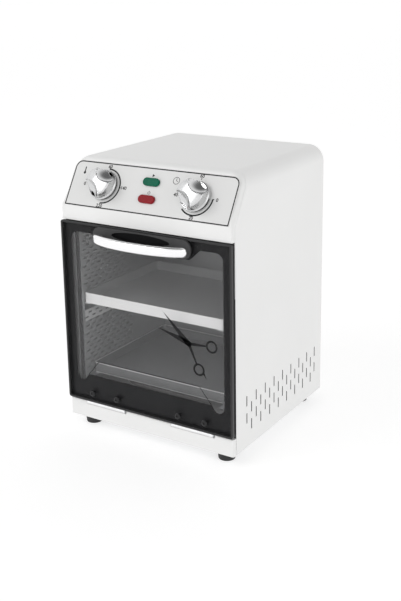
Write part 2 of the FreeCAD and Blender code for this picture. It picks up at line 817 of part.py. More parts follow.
for side, name in zip(sides, ("left", "right")):
    low, high = ("coverFace", "linerHalfWidth") if side == "1" else ("0 - linerHalfWidth", "0 - coverFace")
    holes = [
        block(f"0 - linerHalfWidth, linerHalfWidth,"
              f"holeFirstY + {column + row % 2 / 2} * holePitchY,"
              f"holeFirstY + {column + row % 2 / 2} * holePitchY + holeLength,"
              f"holeLowZ + {row} * holePitchZ, holeLowZ + {row} * holePitchZ + holeHeight")
        for row in range(sizes["holeRows"]) for column in range(sizes["holeColumns"])
    ]
    hollow = ("coverFace + coverGauge, linerHalfWidth + cutOver" if side == "1"
              else "0 - linerHalfWidth - cutOver, 0 - coverFace - coverGauge")
    node(f"duct_cover_{name}", cut(
        block(f"{low}, {high}, coverFront, coverBack, linerFloor, linerTop - coverInset"),
        [block(f"{hollow}, coverFront + coverGauge, coverBack - coverGauge,"
               "linerFloor + coverGauge, linerTop - coverInset - coverGauge")] + holes))


def tray(front, bottom):
    """Pressed pan with a lip all round and rounded corners."""
    span = f"{bottom}, {bottom} + trayLip"
    pans = []
    for inset, lift in (("0", span), ("trayWall", f"{bottom} + trayWall, {bottom} + trayLip + cutOver")):
        pan = prism("XY", [
            f"{inset} - trayHalfWidth, {front} + {inset}",
            f"trayHalfWidth - {inset}, {front} + {inset}",
            f"trayHalfWidth - {inset}, {front} + trayLength - {inset}",
            f"{inset} - trayHalfWidth, {front} + trayLength - {inset}",
        ], lift)
        pans.append(rounded(pan, f"trayCornerRadius - {inset}", lambda edge: along(edge, axis_z)))
    return cut(pans[0], [pans[1]])


node("upper_tray", tray("upperTrayFront", "upperTrayBottom"))
node("lower_tray", tray("lowerTrayFront", "lowerTrayBottom"))
for name, top in (("upper", "upperTrayBottom"), ("lower", "lowerTrayBottom")):
    rails = []
    for side in sides:
        # an angle: a ledge under the tray and a leg down the wall cover
        ledge = sorted((f"{side} * coverFace", f"{side} * (coverFace - shelfRailReach)"), key=value)
        leg = sorted((f"{side} * coverFace", f"{side} * (coverFace - shelfRailGauge)"), key=value)
        span = "shelfRailFront, shelfRailFront + shelfRailLength"
        rails.append(fuse([
            block(f"{ledge[0]}, {ledge[1]}, {span}, {top} - shelfRailGauge, {top}"),
            block(f"{leg[0]}, {leg[1]}, {span}, {top} - shelfRailDrop, {top} - shelfRailGauge"),
        ]))
    node(f"shelf_rails_{name}", group(rails))

# Heating elements
for name, height in (("lower", "lowerHeaterZ"), ("upper", "upperHeaterZ")):
    front = f"heaterFront, {height}"
    pieces = [rod("X", front, "heaterBend - heaterHalfWidth, heaterHalfWidth - heaterBend", "heaterRadius")]
    for side, turn in zip(sides, (180, 270)):
        leg = f"{side} * heaterHalfWidth, {height}"
        pieces.append(rod("Y", leg, "heaterFront + heaterBend, linerOuterBack + heaterTail", "heaterRadius"))
        bend = doc.addObject("Part::Torus", "Bend")
        bind(bend, "Radius1", "heaterBend")
        bind(bend, "Radius2", "heaterRadius")
        bend.Angle3 = 90
        bend.Placement = FreeCAD.Placement(FreeCAD.Vector(), FreeCAD.Rotation(axis_z, turn))
        inner = f"{side} * (heaterHalfWidth - heaterBend)"
        pieces.append(move(bend, inner, "heaterFront + heaterBend", height))
    node(f"heater_{name}", fuse(pieces))
node("heater_bushes", group([
    cut(rod("Y", f"{x}, {z}", "linerOuterBack, linerOuterBack + bushLength", "bushRadius"),
        [rod("Y", f"{x}, {z}", "linerBack, linerOuterBack + bushLength + cutOver",
             "heaterRadius + runningGap")])
    for x, z in heaterPlaces
]))
clips = []
for x, z in heaterPlaces:
    seat = (f"linerFloor, {z} + heaterRadius + clipEdge" if z == "lowerHeaterZ"
            else f"{z} - heaterRadius - clipEdge, linerTop")
    for number in range(sizes["clipCount"]):
        start = f"clipFirstY + {number} * clipPitchY"
        clips.append(cut(
            block(f"{x} - clipWidth / 2, {x} + clipWidth / 2, {start}, {start} + clipLength, {seat}"),
            [rod("Y", f"{x}, {z}", f"{start} - cutOver, {start} + clipLength + cutOver",
                 "heaterRadius + runningGap")]))
node("heater_clips", group(clips))

# Insulation and control deck
node("insulation_sides", group([
    block("0 - linerOuterHalf - sideSlab, 0 - linerOuterHalf, chamberFrameBack + slabInset,"
          "linerOuterBack, sideSlabBottom, linerOuterTop"),
    block("linerOuterHalf, linerOuterHalf + sideSlab, chamberFrameBack + slabInset,"
          "linerOuterBack, sideSlabBottom, linerOuterTop"),
]))
cutout = "cutoutX, cutoutY"
node("insulation_top", cut(
    block("0 - linerOuterHalf, linerOuterHalf, topSlabFront, linerOuterBack, linerOuterTop, deckHeight"),
    [capillaryBore, rod("Z", cutout, "linerTop, casingHeight",
                         "sqrt(cutoutEarWidth^2 + cutoutEarDepth^2) / 2 + seatGap")]))
node("insulation_back", cut(
    block("0 - linerHalfWidth, linerHalfWidth, linerOuterBack, linerOuterBack + backSlab,"
          "linerOuterFloor, linerOuterTop"),
    [rod("Y", f"{x}, {z}", "linerBack, casingDepth", "bushRadius + seatGap") for x, z in heaterPlaces]))
node("insulation_bottom", block(
    "slabInset - linerHalfWidth, linerHalfWidth - slabInset, chamberFrameBack + slabInset, linerBack,"
    "linerOuterFloor - bottomSlab, linerOuterFloor"))
node("control_deck", cut(
    block("0 - fitHalf, fitHalf, deckFront, panBack, deckHeight, deckHeight + deckRim"),
    [block("deckGauge - fitHalf, fitHalf - deckGauge, 0, casingDepth,"
           "deckHeight + deckGauge, casingHeight"), capillaryBore]))

# Controls on the sloped face
overlayPlate = prism("XY", [
    "0 - overlayHalfWidth, overlayBottom",
    "overlayHalfWidth, overlayBottom",
    "overlayHalfWidth, overlayTop",
    "0 - overlayHalfWidth, overlayTop",
], "0, overlayThickness")
rounded(overlayPlate, "overlayCornerRadius",
        lambda edge: along(edge, axis_z) and middle(edge).y > value("overlayTop") - 0.001)
face_node("panel_overlay", cut(overlayPlate, faceHoles))

for name, x in dials.items():
    # the knob is built round its own axis, then turned to its mark
    scoops = []
    for side in sides:
        scoop = doc.addObject("Part::Sphere", "Scoop")
        bind(scoop, "Radius", "gripScoopRadius")
        scoops.append(move(scoop, y=f"{side} * (gripHalfWaist + gripScoopRadius)",
                           z="knobSkirt + gripScoopRadius - gripScoopSink"))
    dome = doc.addObject("Part::Sphere", "Dome")
    bind(dome, "Radius", "gripDomeRadius")
    move(dome, z="knobHeight - gripDomeRadius")
    grip = cut(common(rod("Z", "0, 0", "knobSkirt, knobHeight", "gripRadius"), dome), scoops)
    skirt = turned([
        "0, knobBottom",
        "knobRadius, knobBottom",
        "knobRadius, knobSkirt - knobSkirtRound",
        "knobRadius - knobSkirtRound, knobSkirt",
        "0, knobSkirt",
    ])
    socket = rod("Z", "0, 0", "0, spindleInKnob + seatGap", "spindleRadius + runningGap")
    knob = cut(fuse([skirt, grip]), [socket])
    knob.Placement = FreeCAD.Placement(FreeCAD.Vector(), FreeCAD.Rotation(axis_z, sizes[f"{name}DialAngle"]))
    bind(knob, "Placement.Rotation.Angle", f"{name}DialAngle")
    face_node(f"{name}_knob", move(knob, x, "dialRise"))
    spindle = rod("Z", f"{x}, dialRise", "0 - spindleDepth, spindleInKnob", "spindleRadius")
    face_node(f"{name}_spindle", spindle)

spindleBore = "0 - spindleDepth - seatGap, cutOver"
bodySpan = "0 - casingGauge - {depth}, 0 - casingGauge"
bulbTube = rod("Z", "bulbX, bulbY", "bulbZ, casingHeight", "capillaryRadius")


def controlBody(x, shapes):
    """A switch body behind the sloped face, with its collar, spindle bore and screw holes."""
    collar = rod("Z", f"{x}, dialRise", "0 - casingGauge, overlayThickness", "collarRadius")
    bores = [rod("Z", f"{x}, dialRise", spindleBore, "spindleRadius + runningGap")]
    for side in sides:
        bores.append(rod("Z", f"{x} + {side} * controlScrewSpread, dialRise",
                         "0 - controlScrewLength - seatGap, 0", "controlScrewRadius + runningGap"))
    return cut(fuse(shapes + [collar]), bores)


def blades(x, depth):
    """Two push-on terminals on the back of a body."""
    return [
        block(f"{x} + {side} * bladeWidth - bladeWidth / 2, {x} + {side} * bladeWidth + bladeWidth / 2,"
              f"dialRise - bladeGauge / 2, dialRise + bladeGauge / 2,"
              f"0 - casingGauge - {depth} - bladeLength, 0 - casingGauge - {depth}")
        for side in sides
    ]


thermostat = controlBody("temperatureDialX", [
    block("temperatureDialX - thermostatWidth / 2, temperatureDialX + thermostatWidth / 2,"
          "dialRise - thermostatHeight / 2, dialRise + thermostatHeight / 2,"
          + bodySpan.format(depth="thermostatDepth")),
] + blades("temperatureDialX", "thermostatDepth"))
face_node("thermostat_body", thermostat)
face_node("timer_body", controlBody("timerDialX", [
    rod("Z", "timerDialX, dialRise", bodySpan.format(depth="timerDepth"), "timerRadius"),
    block("timerDialX - timerPlateWidth / 2, timerDialX + timerPlateWidth / 2,"
          "dialRise - timerPlateHeight / 2, dialRise + timerPlateHeight / 2,"
          + bodySpan.format(depth="timerPlateGauge")),
] + blades("timerDialX", "timerDepth")))
face_node("control_screws", group(controlScrews(
    "controlScrewRadius", "0 - controlScrewLength, overlayThickness")))
thermostatRoom = tilt(group([
    block("temperatureDialX - thermostatWidth, temperatureDialX + thermostatWidth,"
          "dialRise - thermostatHeight / 2, casingHeight,"
          + bodySpan.format(depth="thermostatDepth")),
]))
node("thermostat_bulb", cut(fuse([
    bulbTube,
    rod("Y", "bulbX, bulbZ", "bulbY - bulbRadius, bulbY + bulbLength", "bulbRadius"),
]), [thermostatRoom]))

for name, rise in lamps.items():
    lens = prism("XY", [
        f"lampX - lampLength / 2, {rise} - lampWidth / 2",
        f"lampX + lampLength / 2, {rise} - lampWidth / 2",
        f"lampX + lampLength / 2, {rise} + lampWidth / 2",
        f"lampX - lampLength / 2, {rise} + lampWidth / 2",
    ], "overlayThickness, overlayThickness + lampProud")
    rounded(lens, "lampWidth * 0.49", lambda edge: along(edge, axis_z))
    rounded(lens, "lampEdgeRadius",
            lambda edge: edge.BoundBox.ZMin > value("overlayThickness + lampProud") - 0.001)
    face_node(f"{name}_lamp_lens", lens)
for name, body in zip(lamps, lampBlocks("0", "0 - lampBodyDepth, overlayThickness")):
    face_node(f"{name}_lamp_body", body)

# Other inner pieces
node("thermal_cutout", fuse([
    rod("Z", cutout, "linerOuterTop, linerOuterTop + cutoutHeight", "cutoutRadius"),
    block("cutoutX - cutoutEarWidth / 2, cutoutX + cutoutEarWidth / 2,"
          "cutoutY - cutoutEarDepth / 2, cutoutY + cutoutEarDepth / 2,"
          "linerOuterTop, linerOuterTop + cutoutEarGauge"),
]))
deckTop = "deckHeight + deckGauge"
node("terminal_block", cut(
    block("terminalX - terminalLength / 2, terminalX + terminalLength / 2,"
          "terminalY - terminalWidth / 2, terminalY + terminalWidth / 2,"
          f"{deckTop}, {deckTop} + terminalHeight"),
    [rod("Z", f"terminalX + {number} * terminalPitch, terminalY",
         f"{deckTop} + terminalHeight / 2, {deckTop} + terminalHeight + cutOver", "terminalHoleRadius")
     for number in (-1, 0, 1)]))
glandBore = rod("Y", gland, "backFace - glandTail - cutOver, casingDepth + glandReach + cutOver", "glandBore")
node("cable_gland", cut(fuse([
    rod("Y", gland, "backFace - glandTail, casingDepth", "glandRadius"),
    rod("Y", gland, "casingDepth, casingDepth + glandReach", "glandFlangeRadius"),
]), [glandBore]))
node("gland_nut", cut(
    rod("Y", gland, "backFace - glandNutHeight, backFace", "glandNutRadius", "Part::Prism"),
    [rod("Y", gland, "backFace - glandNutHeight - cutOver, casingDepth", "glandRadius + runningGap")]))
strikeBack = "doorFrameBack + strikeGauge"
node("door_magnet", block(f"0 - magnetHalfWidth, magnetHalfWidth, {strikeBack} + fitGap,"
                          f"{strikeBack} + fitGap + magnetDepth, magnetBottom, magnetTop"))
gasketSpan = "doorFrameBack + seatGap, chamberFrameFront"
node("door_gasket", cut(
    block("0 - linerHalfWidth - gasketInset - gasketWidth, linerHalfWidth + gasketInset + gasketWidth,"
          f"{gasketSpan}, mouthBottom - gasketInset - gasketWidth, linerTop + gasketInset + gasketTopWidth"),
    [block("0 - linerHalfWidth - gasketInset, linerHalfWidth + gasketInset,"
           "0, casingDepth, mouthBottom - gasketInset, linerTop + gasketInset")]))

# Door
doorScrewPlaces = [
    f"{side} * hingeX + {part} * doorScrewSpread / 2" for side in sides for part in sides
]
doorScrewBores = [
    rod("Y", f"{x}, doorScrewZ", "doorFace - cutOver, casingDepth", "doorScrewRadius + seatGap")
    for x in doorScrewPlaces
]
handleBores = [
    rod("Y", f"{side} * handleBoltX, handleZ", "surroundFace - cutOver, casingDepth",
        "handleBoltRadius + seatGap")
    for side in sides
]
glass = prism("XZ", [
    "0 - doorWidth / 2, doorBottom",
    "doorWidth / 2, doorBottom",
    "doorWidth / 2, doorTop",
    "0 - doorWidth / 2, doorTop",
], "doorFace, glassBack")
rounded(glass, "glassCornerRadius", lambda edge: along(edge, axis_y))
node("door_glass", cut(glass, doorScrewBores + handleBores))
window = prism("XZ", [
    "0 - windowHalfWidth, windowBottom",
    "windowHalfWidth, windowBottom",
    "windowHalfWidth, windowTop",
    "0 - windowHalfWidth, windowTop",
], "0, casingDepth")
rounded(window, "windowCornerRadius", lambda edge: along(edge, axis_y))
leafPockets = [
    block(f"{side} * hingeX - hingeHalf - seatGap, {side} * hingeX + hingeHalf + seatGap, 0,"
          "doorFrameFront + leafGauge + seatGap, 0, hingeAxisZ + doorLeafRise + seatGap")
    for side in sides
]
frameScrewBores = [
    rod("Y", f"{x}, doorScrewZ", "0, casingDepth", "doorScrewRadius + seatGap") for x in doorScrewPlaces
]
node("door_inner_frame", cut(
    block("doorFrameSideInset - doorWidth / 2, doorWidth / 2 - doorFrameSideInset,"
          "doorFrameFront, doorFrameBack, doorBottom + doorFrameEndInset, doorTop - doorFrameEndInset"),
    [window] + leafPockets + frameScrewBores))
node("door_strike", block("0 - magnetHalfWidth, magnetHalfWidth, doorFrameBack,"
                          f"{strikeBack}, magnetBottom, magnetTop"))
node("door_screws", group([
    fuse([rod("Y", f"{x}, doorScrewZ", "doorFace, doorFace + doorScrewLength", "doorScrewRadius"),
          rod("Y", f"{x}, doorScrewZ", "doorFace - doorScrewHeadHeight, doorFace", "doorScrewHeadRadius")])
    for x in doorScrewPlaces
]))

# Handle
surround = prism("XZ", [
    "0 - surroundHalfLength, surroundBottom",
    "surroundHalfLength, surroundBottom",
    "surroundHalfLength, surroundTop",
    "0 - surroundHalfLength, surroundTop",
], "surroundFace, doorFace")
rounded(surround, "surroundCornerRadius", lambda edge: along(edge, axis_y))


def ellipseBar(long, short, middleY, span):
    """Upright bar of elliptical plan, long across X and short along Y."""
    low, high = span.split(",")
    ring = doc.addObject("Part::Ellipse", "Ring")
    bind(ring, "MajorRadius", long)
    bind(ring, "MinorRadius", short)
    move(ring, y=middleY, z=low)
    bar = doc.addObject("Part::Extrusion", "Extrusion")
    bar.Base = ring
    bar.DirMode = "Custom"
    bar.Dir = axis_z
    bar.Solid = True
    bind(bar, "LengthFwd", f"({high}) - ({low})")
    return bar


recess = ellipseBar("recessHalfLength", "recessHalfHeight", "0", "0, recessDepth + cutOver")
recess.Placement = FreeCAD.Placement(FreeCAD.Vector(), FreeCAD.Rotation(axis_x, 90))
move(recess, y="surroundFace + recessDepth", z="recessZ")
node("handle_surround", cut(surround, handleBores + [recess]))
barSpan = "handleZ - handleHeight / 2, handleZ + handleHeight / 2"
outerBow = ellipseBar("handleHalfLength", "handleReach - surroundThickness", "surroundFace", barSpan)
innerBow = ellipseBar("handleInnerHalfLength", "handleReach - surroundThickness - handleThickness",
                      "surroundFace",
                      "handleZ - handleHeight / 2 - cutOver, handleZ + handleHeight / 2 + cutOver")
behindBow = block("0 - casingWidth, casingWidth, surroundFace, casingDepth, 0, casingHeight")
barFront = prism("XZ", [
    "handleTipTrim - handleHalfLength, handleZ - handleHeight / 2",
    "handleHalfLength - handleTipTrim, handleZ - handleHeight / 2",
    "handleHalfLength - handleTipTrim, handleZ + handleHeight / 2",
    "handleTipTrim - handleHalfLength, handleZ + handleHeight / 2",
], "handleFront - cutOver, surroundFace")
rounded(barFront, "handleEndRadius", lambda edge: along(edge, axis_y))
bow = common(cut(outerBow, [innerBow, behindBow]), barFront)
doc.recompute()
roundedBow = doc.addObject("Part::Fillet", "Fillet")
roundedBow.Base = bow
roundedBow.Edges = [
    (index, value("handleRound"), value("handleRound"))
    for index, edge in enumerate(bow.Shape.Edges, start=1)
    if edge.BoundBox.YMin < value("surroundFace") - 1 and edge.BoundBox.XLength > 1
]
node("handle_bar", cut(roundedBow, [
    rod("Y", f"{side} * handleBoltX, handleZ", "surroundFace - handleBoltDepth - seatGap, 0",
        "handleBoltRadius + runningGap")
    for side in sides
]))
node("handle_screws", group([
    fuse([rod("Y", f"{side} * handleBoltX, handleZ", "surroundFace - handleBoltDepth, glassBack",
              "handleBoltRadius"),
          rod("Y", f"{side} * handleBoltX, handleZ", "glassBack, glassBack + handleBoltHeadHeight",
              "handleBoltHeadRadius")])
    for side in sides
]))

# Hinges
barrel = "hingeAxisY, hingeAxisZ"
pins = []
for side, name in zip(sides, ("left", "right")):
    start = f"{side} * hingeX - hingeHalf"
    finish = f"{side} * hingeX + hingeHalf"
    firstJoint = f"{start} + endKnuckle"
    lastJoint = f"{finish} - endKnuckle"
    bore = rod("X", barrel, f"{start} - cutOver, {finish} + cutOver", "hingePinRadius + runningGap")
    clear = "hingeAxisZ + knuckleRadius + seatGap"
    doorSpan = f"{firstJoint} + knuckleGap, {lastJoint} - knuckleGap"
    doorLeafY = "doorFrameFront, doorFrameFront + leafGauge"
    leafHoles = [
        rod("Y", f"{side} * hingeX + {part} * doorScrewSpread / 2, doorScrewZ", "0, casingDepth",
            "doorScrewRadius + runningGap")
        for part in sides
    ]
    node(f"hinge_{name}_door_leaf", cut(fuse([
        rod("X", barrel, doorSpan, "knuckleRadius"),
        block(f"{doorSpan}, {doorLeafY}, hingeAxisZ, {clear}"),
        block(f"{start}, {finish}, {doorLeafY}, {clear}, hingeAxisZ + doorLeafRise"),
    ]), [bore] + leafHoles))
    low = "hingeAxisZ - knuckleRadius - seatGap"
    ends = (f"{start}, {firstJoint}", f"{lastJoint}, {finish}")
    railLeafY = "casingGauge, casingGauge + leafGauge"
    node(f"hinge_{name}_fixed_leaf", cut(fuse(
        [rod("X", barrel, span, "knuckleRadius") for span in ends]
        + [block(f"{span}, {railLeafY}, {low}, hingeAxisZ") for span in ends]
        + [block(f"{start}, {finish}, {railLeafY}, hingeAxisZ - fixedLeafDrop, {low}")]
    ), [bore]))
    pins.append(fuse([
        rod("X", barrel, f"{start} - runningGap, {finish} + runningGap", "hingePinRadius"),
        rod("X", barrel, f"{start} - runningGap - hingePinHeadLength, {start} - runningGap",
            "hingePinHeadRadius"),
        rod("X", barrel, f"{finish} + runningGap, {finish} + runningGap + hingePinHeadLength",
            "hingePinHeadRadius"),
    ]))
node("hinge_pins", group(pins))

# Check and write
doc.recompute()
faults = [
    thing.Label for thing in doc.Objects
    if "Invalid" in thing.State or "Error" in thing.State
]
faults += [piece.Label for piece in nodes if piece.Shape.isNull() or not piece.Shape.isValid()]
if faults:
    raise RuntimeError("failed pieces: " + ", ".join(faults))
os.makedirs("parts", exist_ok=True)
for piece in nodes:
    piece.Shape.exportStep(f"parts/{piece.Label}.step")
print(len(nodes), "pieces written")
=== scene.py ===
import json
import math

import bmesh
import bpy
from mathutils import Euler, Matrix, Vector


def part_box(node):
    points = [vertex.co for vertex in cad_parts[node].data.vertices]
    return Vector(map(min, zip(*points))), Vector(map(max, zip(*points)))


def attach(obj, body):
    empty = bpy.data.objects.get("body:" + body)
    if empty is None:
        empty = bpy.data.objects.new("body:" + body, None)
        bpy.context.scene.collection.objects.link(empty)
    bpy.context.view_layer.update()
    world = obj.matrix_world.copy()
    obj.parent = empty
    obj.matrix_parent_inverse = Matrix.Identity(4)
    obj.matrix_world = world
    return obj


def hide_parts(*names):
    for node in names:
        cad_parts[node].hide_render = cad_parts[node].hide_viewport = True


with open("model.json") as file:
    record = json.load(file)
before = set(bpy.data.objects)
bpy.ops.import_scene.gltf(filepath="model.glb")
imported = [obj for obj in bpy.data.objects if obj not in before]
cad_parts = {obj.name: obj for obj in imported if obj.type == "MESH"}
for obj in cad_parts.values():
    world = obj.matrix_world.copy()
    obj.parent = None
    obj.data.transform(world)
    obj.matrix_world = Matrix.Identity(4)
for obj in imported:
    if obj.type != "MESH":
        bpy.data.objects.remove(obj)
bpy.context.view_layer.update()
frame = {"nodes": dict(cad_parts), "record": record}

scene = bpy.context.scene
nodes, record = frame["nodes"], frame["record"]
slotOf = {part["node"]: part["material_slot"] for part in record["subparts"]}
bodyOf = {node: body for body, members in record["behaviour"]["bodies"].items()
          for node in members}
print("frame loaded,", len(nodes), "nodes")

# Planes that several pieces stand on; drawn sizes below are millimetres
mm = 0.001
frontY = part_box("control_fascia")[0].y
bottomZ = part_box("outer_casing")[0].z
glassLow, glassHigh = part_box("door_glass")
panel = {"bend": 268, "lean": 31, "film": 0.3}
lean = math.radians(panel["lean"])
panelPlace = Matrix((
    (1, 0, 0, 0),
    (0, math.sin(lean), -math.cos(lean), frontY),
    (0, math.cos(lean), math.sin(lean), bottomZ + panel["bend"] * mm),
    (0, 0, 0, 1),
))
# back of the door's glass: x across, y up from the casing's bottom
doorPlace = Matrix(((1, 0, 0, 0), (0, 0, -1, glassHigh.y), (0, 1, 0, bottomZ), (0, 0, 0, 1)))


# Shader arithmetic
class Link:
    def __init__(self, recipe, socket):
        self.recipe, self.socket = recipe, socket

    def maths(self, operation, first, second):
        return self.recipe.add("ShaderNodeMath", {"operation": operation},
                               {0: first, 1: second})[0]

    def __add__(self, other):
        return self.maths("ADD", self, other)

    def __sub__(self, other):
        return self.maths("SUBTRACT", self, other)

    def __rsub__(self, other):
        return self.maths("SUBTRACT", other, self)

    def __mul__(self, other):
        return self.maths("MULTIPLY", self, other)

    def __pow__(self, other):
        return self.maths("POWER", self, other)

    def over(self, limit):  # 1 where the value is larger than the limit
        return self.maths("GREATER_THAN", self, limit)

    def size(self):
        return self.maths("ABSOLUTE", self, 0)

    def either(self, other):
        return self.maths("MAXIMUM", self, other)

    __radd__, __rmul__ = __add__, __mul__


class Outlets:
    def __init__(self, recipe, node):
        self.recipe, self.node = recipe, node

    def __getitem__(self, key):
        return Link(self.recipe, self.node.outputs[key])


def solid(colour):  # a plain colour gets its fourth value, a link passes as it is
    return colour if isinstance(colour, Link) else (*colour, 1)


class Recipe:
    def __init__(self, name):
        self.material = bpy.data.materials.new(name)
        self.material.use_nodes = True
        self.tree = self.material.node_tree
        self.tree.nodes.clear()
        self.coordinates = None

    def add(self, kind, settings=None, inputs=None):
        node = self.tree.nodes.new(kind)
        for field, wanted in (settings or {}).items():
            setattr(node, field, wanted)
        for key, wanted in (inputs or {}).items():
            if isinstance(wanted, Link):
                self.tree.links.new(wanted.socket, node.inputs[key])
            else:
                node.inputs[key].default_value = wanted
        return Outlets(self, node)

    def spot(self, stretch=(1, 1, 1)):
        if self.coordinates is None:
            self.coordinates = self.add("ShaderNodeTexCoord")["Object"]
        if stretch == (1, 1, 1):
            return self.coordinates
        return self.add("ShaderNodeMapping", None,
                        {"Vector": self.coordinates, "Scale": stretch})[0]

    def place(self):  # the point's own three coordinates
        split = self.add("ShaderNodeSeparateXYZ", None, {0: self.spot()})
        return split["X"], split["Y"], split["Z"]

    def noise(self, scale, detail, stretch=(1, 1, 1)):
        return self.add("ShaderNodeTexNoise", None, {
            "Vector": self.spot(stretch), "Scale": scale, "Detail": detail})["Fac"]

    def tint(self, amount, first, second):  # 6, 7 and 2 are the Mix node's colour sockets
        return self.add("ShaderNodeMix", {"data_type": "RGBA"},
                        {0: amount, 6: solid(first), 7: solid(second)})[2]

    def shade(self, look, amount):
        return self.tint(amount, look["shade"], look["light"])

    def gloss(self, look, amount):
        return look["gloss"] + look["glossSpread"] * amount

    def zoned(self, look, colour):
        for shade, limits in look.get("zones", ()):  # a limit: axis, middle and half width
            point, outside = self.place(), None
            for axis, middle, half in limits:
                beyond = (point[axis] - middle).size().over(half)
                outside = beyond if outside is None else outside.either(beyond)
            colour = self.tint(outside, shade, colour)
        return colour

    def surface(self, colour, roughness, height=None, depth=0.0, oneSided=False, **fixed):
        inputs = {"Base Color": solid(colour), "Roughness": roughness}
        if height is not None:
            inputs["Normal"] = self.add("ShaderNodeBump", None,
                                        {"Height": height, "Distance": depth})[0]
        inputs.update({name.replace("_", " "): wanted for name, wanted in fixed.items()})
        shader = self.add("ShaderNodeBsdfPrincipled", None, inputs)["BSDF"]
        if oneSided:  # nothing is seen of it from its back
            behind = self.add("ShaderNodeNewGeometry")["Backfacing"]
            clear = self.add("ShaderNodeBsdfTransparent")["BSDF"]
            shader = self.add("ShaderNodeMixShader", None, {0: behind, 1: shader, 2: clear})[0]
        self.add("ShaderNodeOutputMaterial", None, {"Surface": shader})
        return self.material


def powderCoat(name, look):
    recipe = Recipe(name)
    cloud = recipe.noise(look["cloud"], 3)
    peel = recipe.noise(look["peel"], 2)
    return recipe.surface(recipe.zoned(look, recipe.shade(look, cloud)),
                          recipe.gloss(look, cloud), peel, look["peelDepth"])


def rolledSheet(name, look):  # sheet metal with drawn-out rolling lines
    recipe = Recipe(name)
    lines = recipe.noise(look["grain"], 3, look["along"])
    cloud = recipe.noise(look["cloud"], 2)
    mottle = lines * look["lineShare"] + cloud * (1 - look["lineShare"])
    return recipe.surface(recipe.zoned(look, recipe.shade(look, mottle)),
                          recipe.gloss(look, lines), lines, look["lineDepth"],
                          Metallic=look["metal"])


def zincPlate(name, look):
    recipe = Recipe(name)
    flakes = recipe.add("ShaderNodeTexVoronoi", None,
                        {"Vector": recipe.spot(), "Scale": look["flake"]})["Distance"]
    haze = recipe.noise(look["haze"], 3)
    mottle = flakes * look["flakeShare"] + haze * (1 - look["flakeShare"])
    return recipe.surface(recipe.shade(look, mottle), recipe.gloss(look, haze),
                          haze, look["depth"], Metallic=1.0)


def plating(name, look):
    recipe = Recipe(name)
    haze = recipe.noise(look["haze"], 3)
    flow = recipe.noise(look["flow"], 1)
    return recipe.surface(recipe.shade(look, haze), recipe.gloss(look, haze),
                          flow, look["depth"], Metallic=1.0)


def moulded(name, look):  # plastic or rubber with a fine grain
    recipe = Recipe(name)
    grain = recipe.noise(look["grain"], 2)
    cloud = recipe.noise(look["cloud"], 2)
    return recipe.surface(recipe.shade(look, cloud), recipe.gloss(look, cloud),
                          grain, look["depth"], Specular_IOR_Level=look.get("shine", 0.5))


def shadedHollow(name, look):  # plastic with painted shade: black inside its oval hollow
    recipe = Recipe(name)
    grain = recipe.noise(look["grain"], 2)
    cloud = recipe.noise(look["cloud"], 2)
    x, y, z = recipe.place()
    across, upward = look["half"]
    fromMiddle = z - (bottomZ + look["middle"] * mm)
    oval = (x * (1 / (across * mm))) ** 2 + (fromMiddle * (1 / (upward * mm))) ** 2
    sunk = y.over(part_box("handle_surround")[0].y + look["below"] * mm)
    # painted shade fills the oval hollow
    colour = recipe.tint((1 - oval.over(1)) * sunk, recipe.shade(look, cloud), look["black"])
    return recipe.surface(colour, recipe.gloss(look, cloud), grain, look["depth"],
                          Specular_IOR_Level=look["shine"])


def smokedGlass(name, look):  # clear, with a dark rim
    recipe = Recipe(name)
    haze = recipe.noise(look["haze"], 3)
    x, y, z = recipe.place()
    middle, half = (glassLow.z + glassHigh.z) / 2, (glassHigh.z - glassLow.z) / 2
    rim = x.size().over(glassHigh.x - look["rim"] * mm).either(
        (z - middle).size().over(half - look["rim"] * mm))
    return recipe.surface(recipe.tint(rim, recipe.shade(look, haze), look["edge"]),
                          recipe.gloss(look, haze),
                          Alpha=look["cover"] + (1 - look["cover"]) * rim,
                          Specular_IOR_Level=look["shine"])


def sheenVeilFilm(name, look):  # painted reflection: a pale grey haze over the clear part of the window, in place of the glass's sheen
    recipe = Recipe(name)
    haze = recipe.noise(look["haze"], 3)
    return recipe.surface(recipe.shade(look, haze), look["gloss"],
                          Alpha=look["cover"] + look["coverSpread"] * haze,
                          Specular_IOR_Level=0.0)


def lampLens(name, look):
    recipe = Recipe(name)
    ribs = recipe.add("ShaderNodeTexWave", {"wave_type": "BANDS", "bands_direction": "X"},
                      {"Vector": recipe.spot(), "Scale": look["ribs"]})["Fac"]
    glow = recipe.noise(look["glow"], 1)
    mottle = ribs * look["ribShare"] + glow * (1 - look["ribShare"])
    return recipe.surface(recipe.shade(look, mottle), recipe.gloss(look, glow),
                          ribs, look["depth"], Specular_IOR_Level=look["shine"])


def fibre(name, look):
    recipe = Recipe(name)
    tufts = recipe.noise(look["tuft"], 6, look["along"])
    return recipe.surface(recipe.shade(look, tufts), look["gloss"], tufts, look["depth"])


# Looks that several finishes start from; depths are metres, pattern scales are per metre
casingLook = {
    "shade": (0.755, 0.755, 0.75), "light": (0.80, 0.80, 0.795), "cloud": 9, "peel": 900,
    "peelDepth": 0.00001, "gloss": 0.34, "glossSpread": 0.08}
sheetLook = {
    "shade": (0.44, 0.445, 0.45), "light": (0.54, 0.545, 0.55), "cloud": 18, "grain": 900,
    "along": (1, 0.03, 1), "lineShare": 0.6, "gloss": 0.40, "glossSpread": 0.16,
    "lineDepth": 0.00001, "metal": 0.35}
trayLook = dict(sheetLook, metal=0.2)
zincLook = {
    "shade": (0.50, 0.51, 0.53), "light": (0.72, 0.73, 0.74), "flake": 220, "haze": 60,
    "flakeShare": 0.5, "gloss": 0.24, "glossSpread": 0.2, "depth": 0.00001}
lensLook = {
    "ribs": 160, "glow": 70, "ribShare": 0.4, "gloss": 0.25, "glossSpread": 0.05,
    "depth": 0.0001, "shine": 0.12}
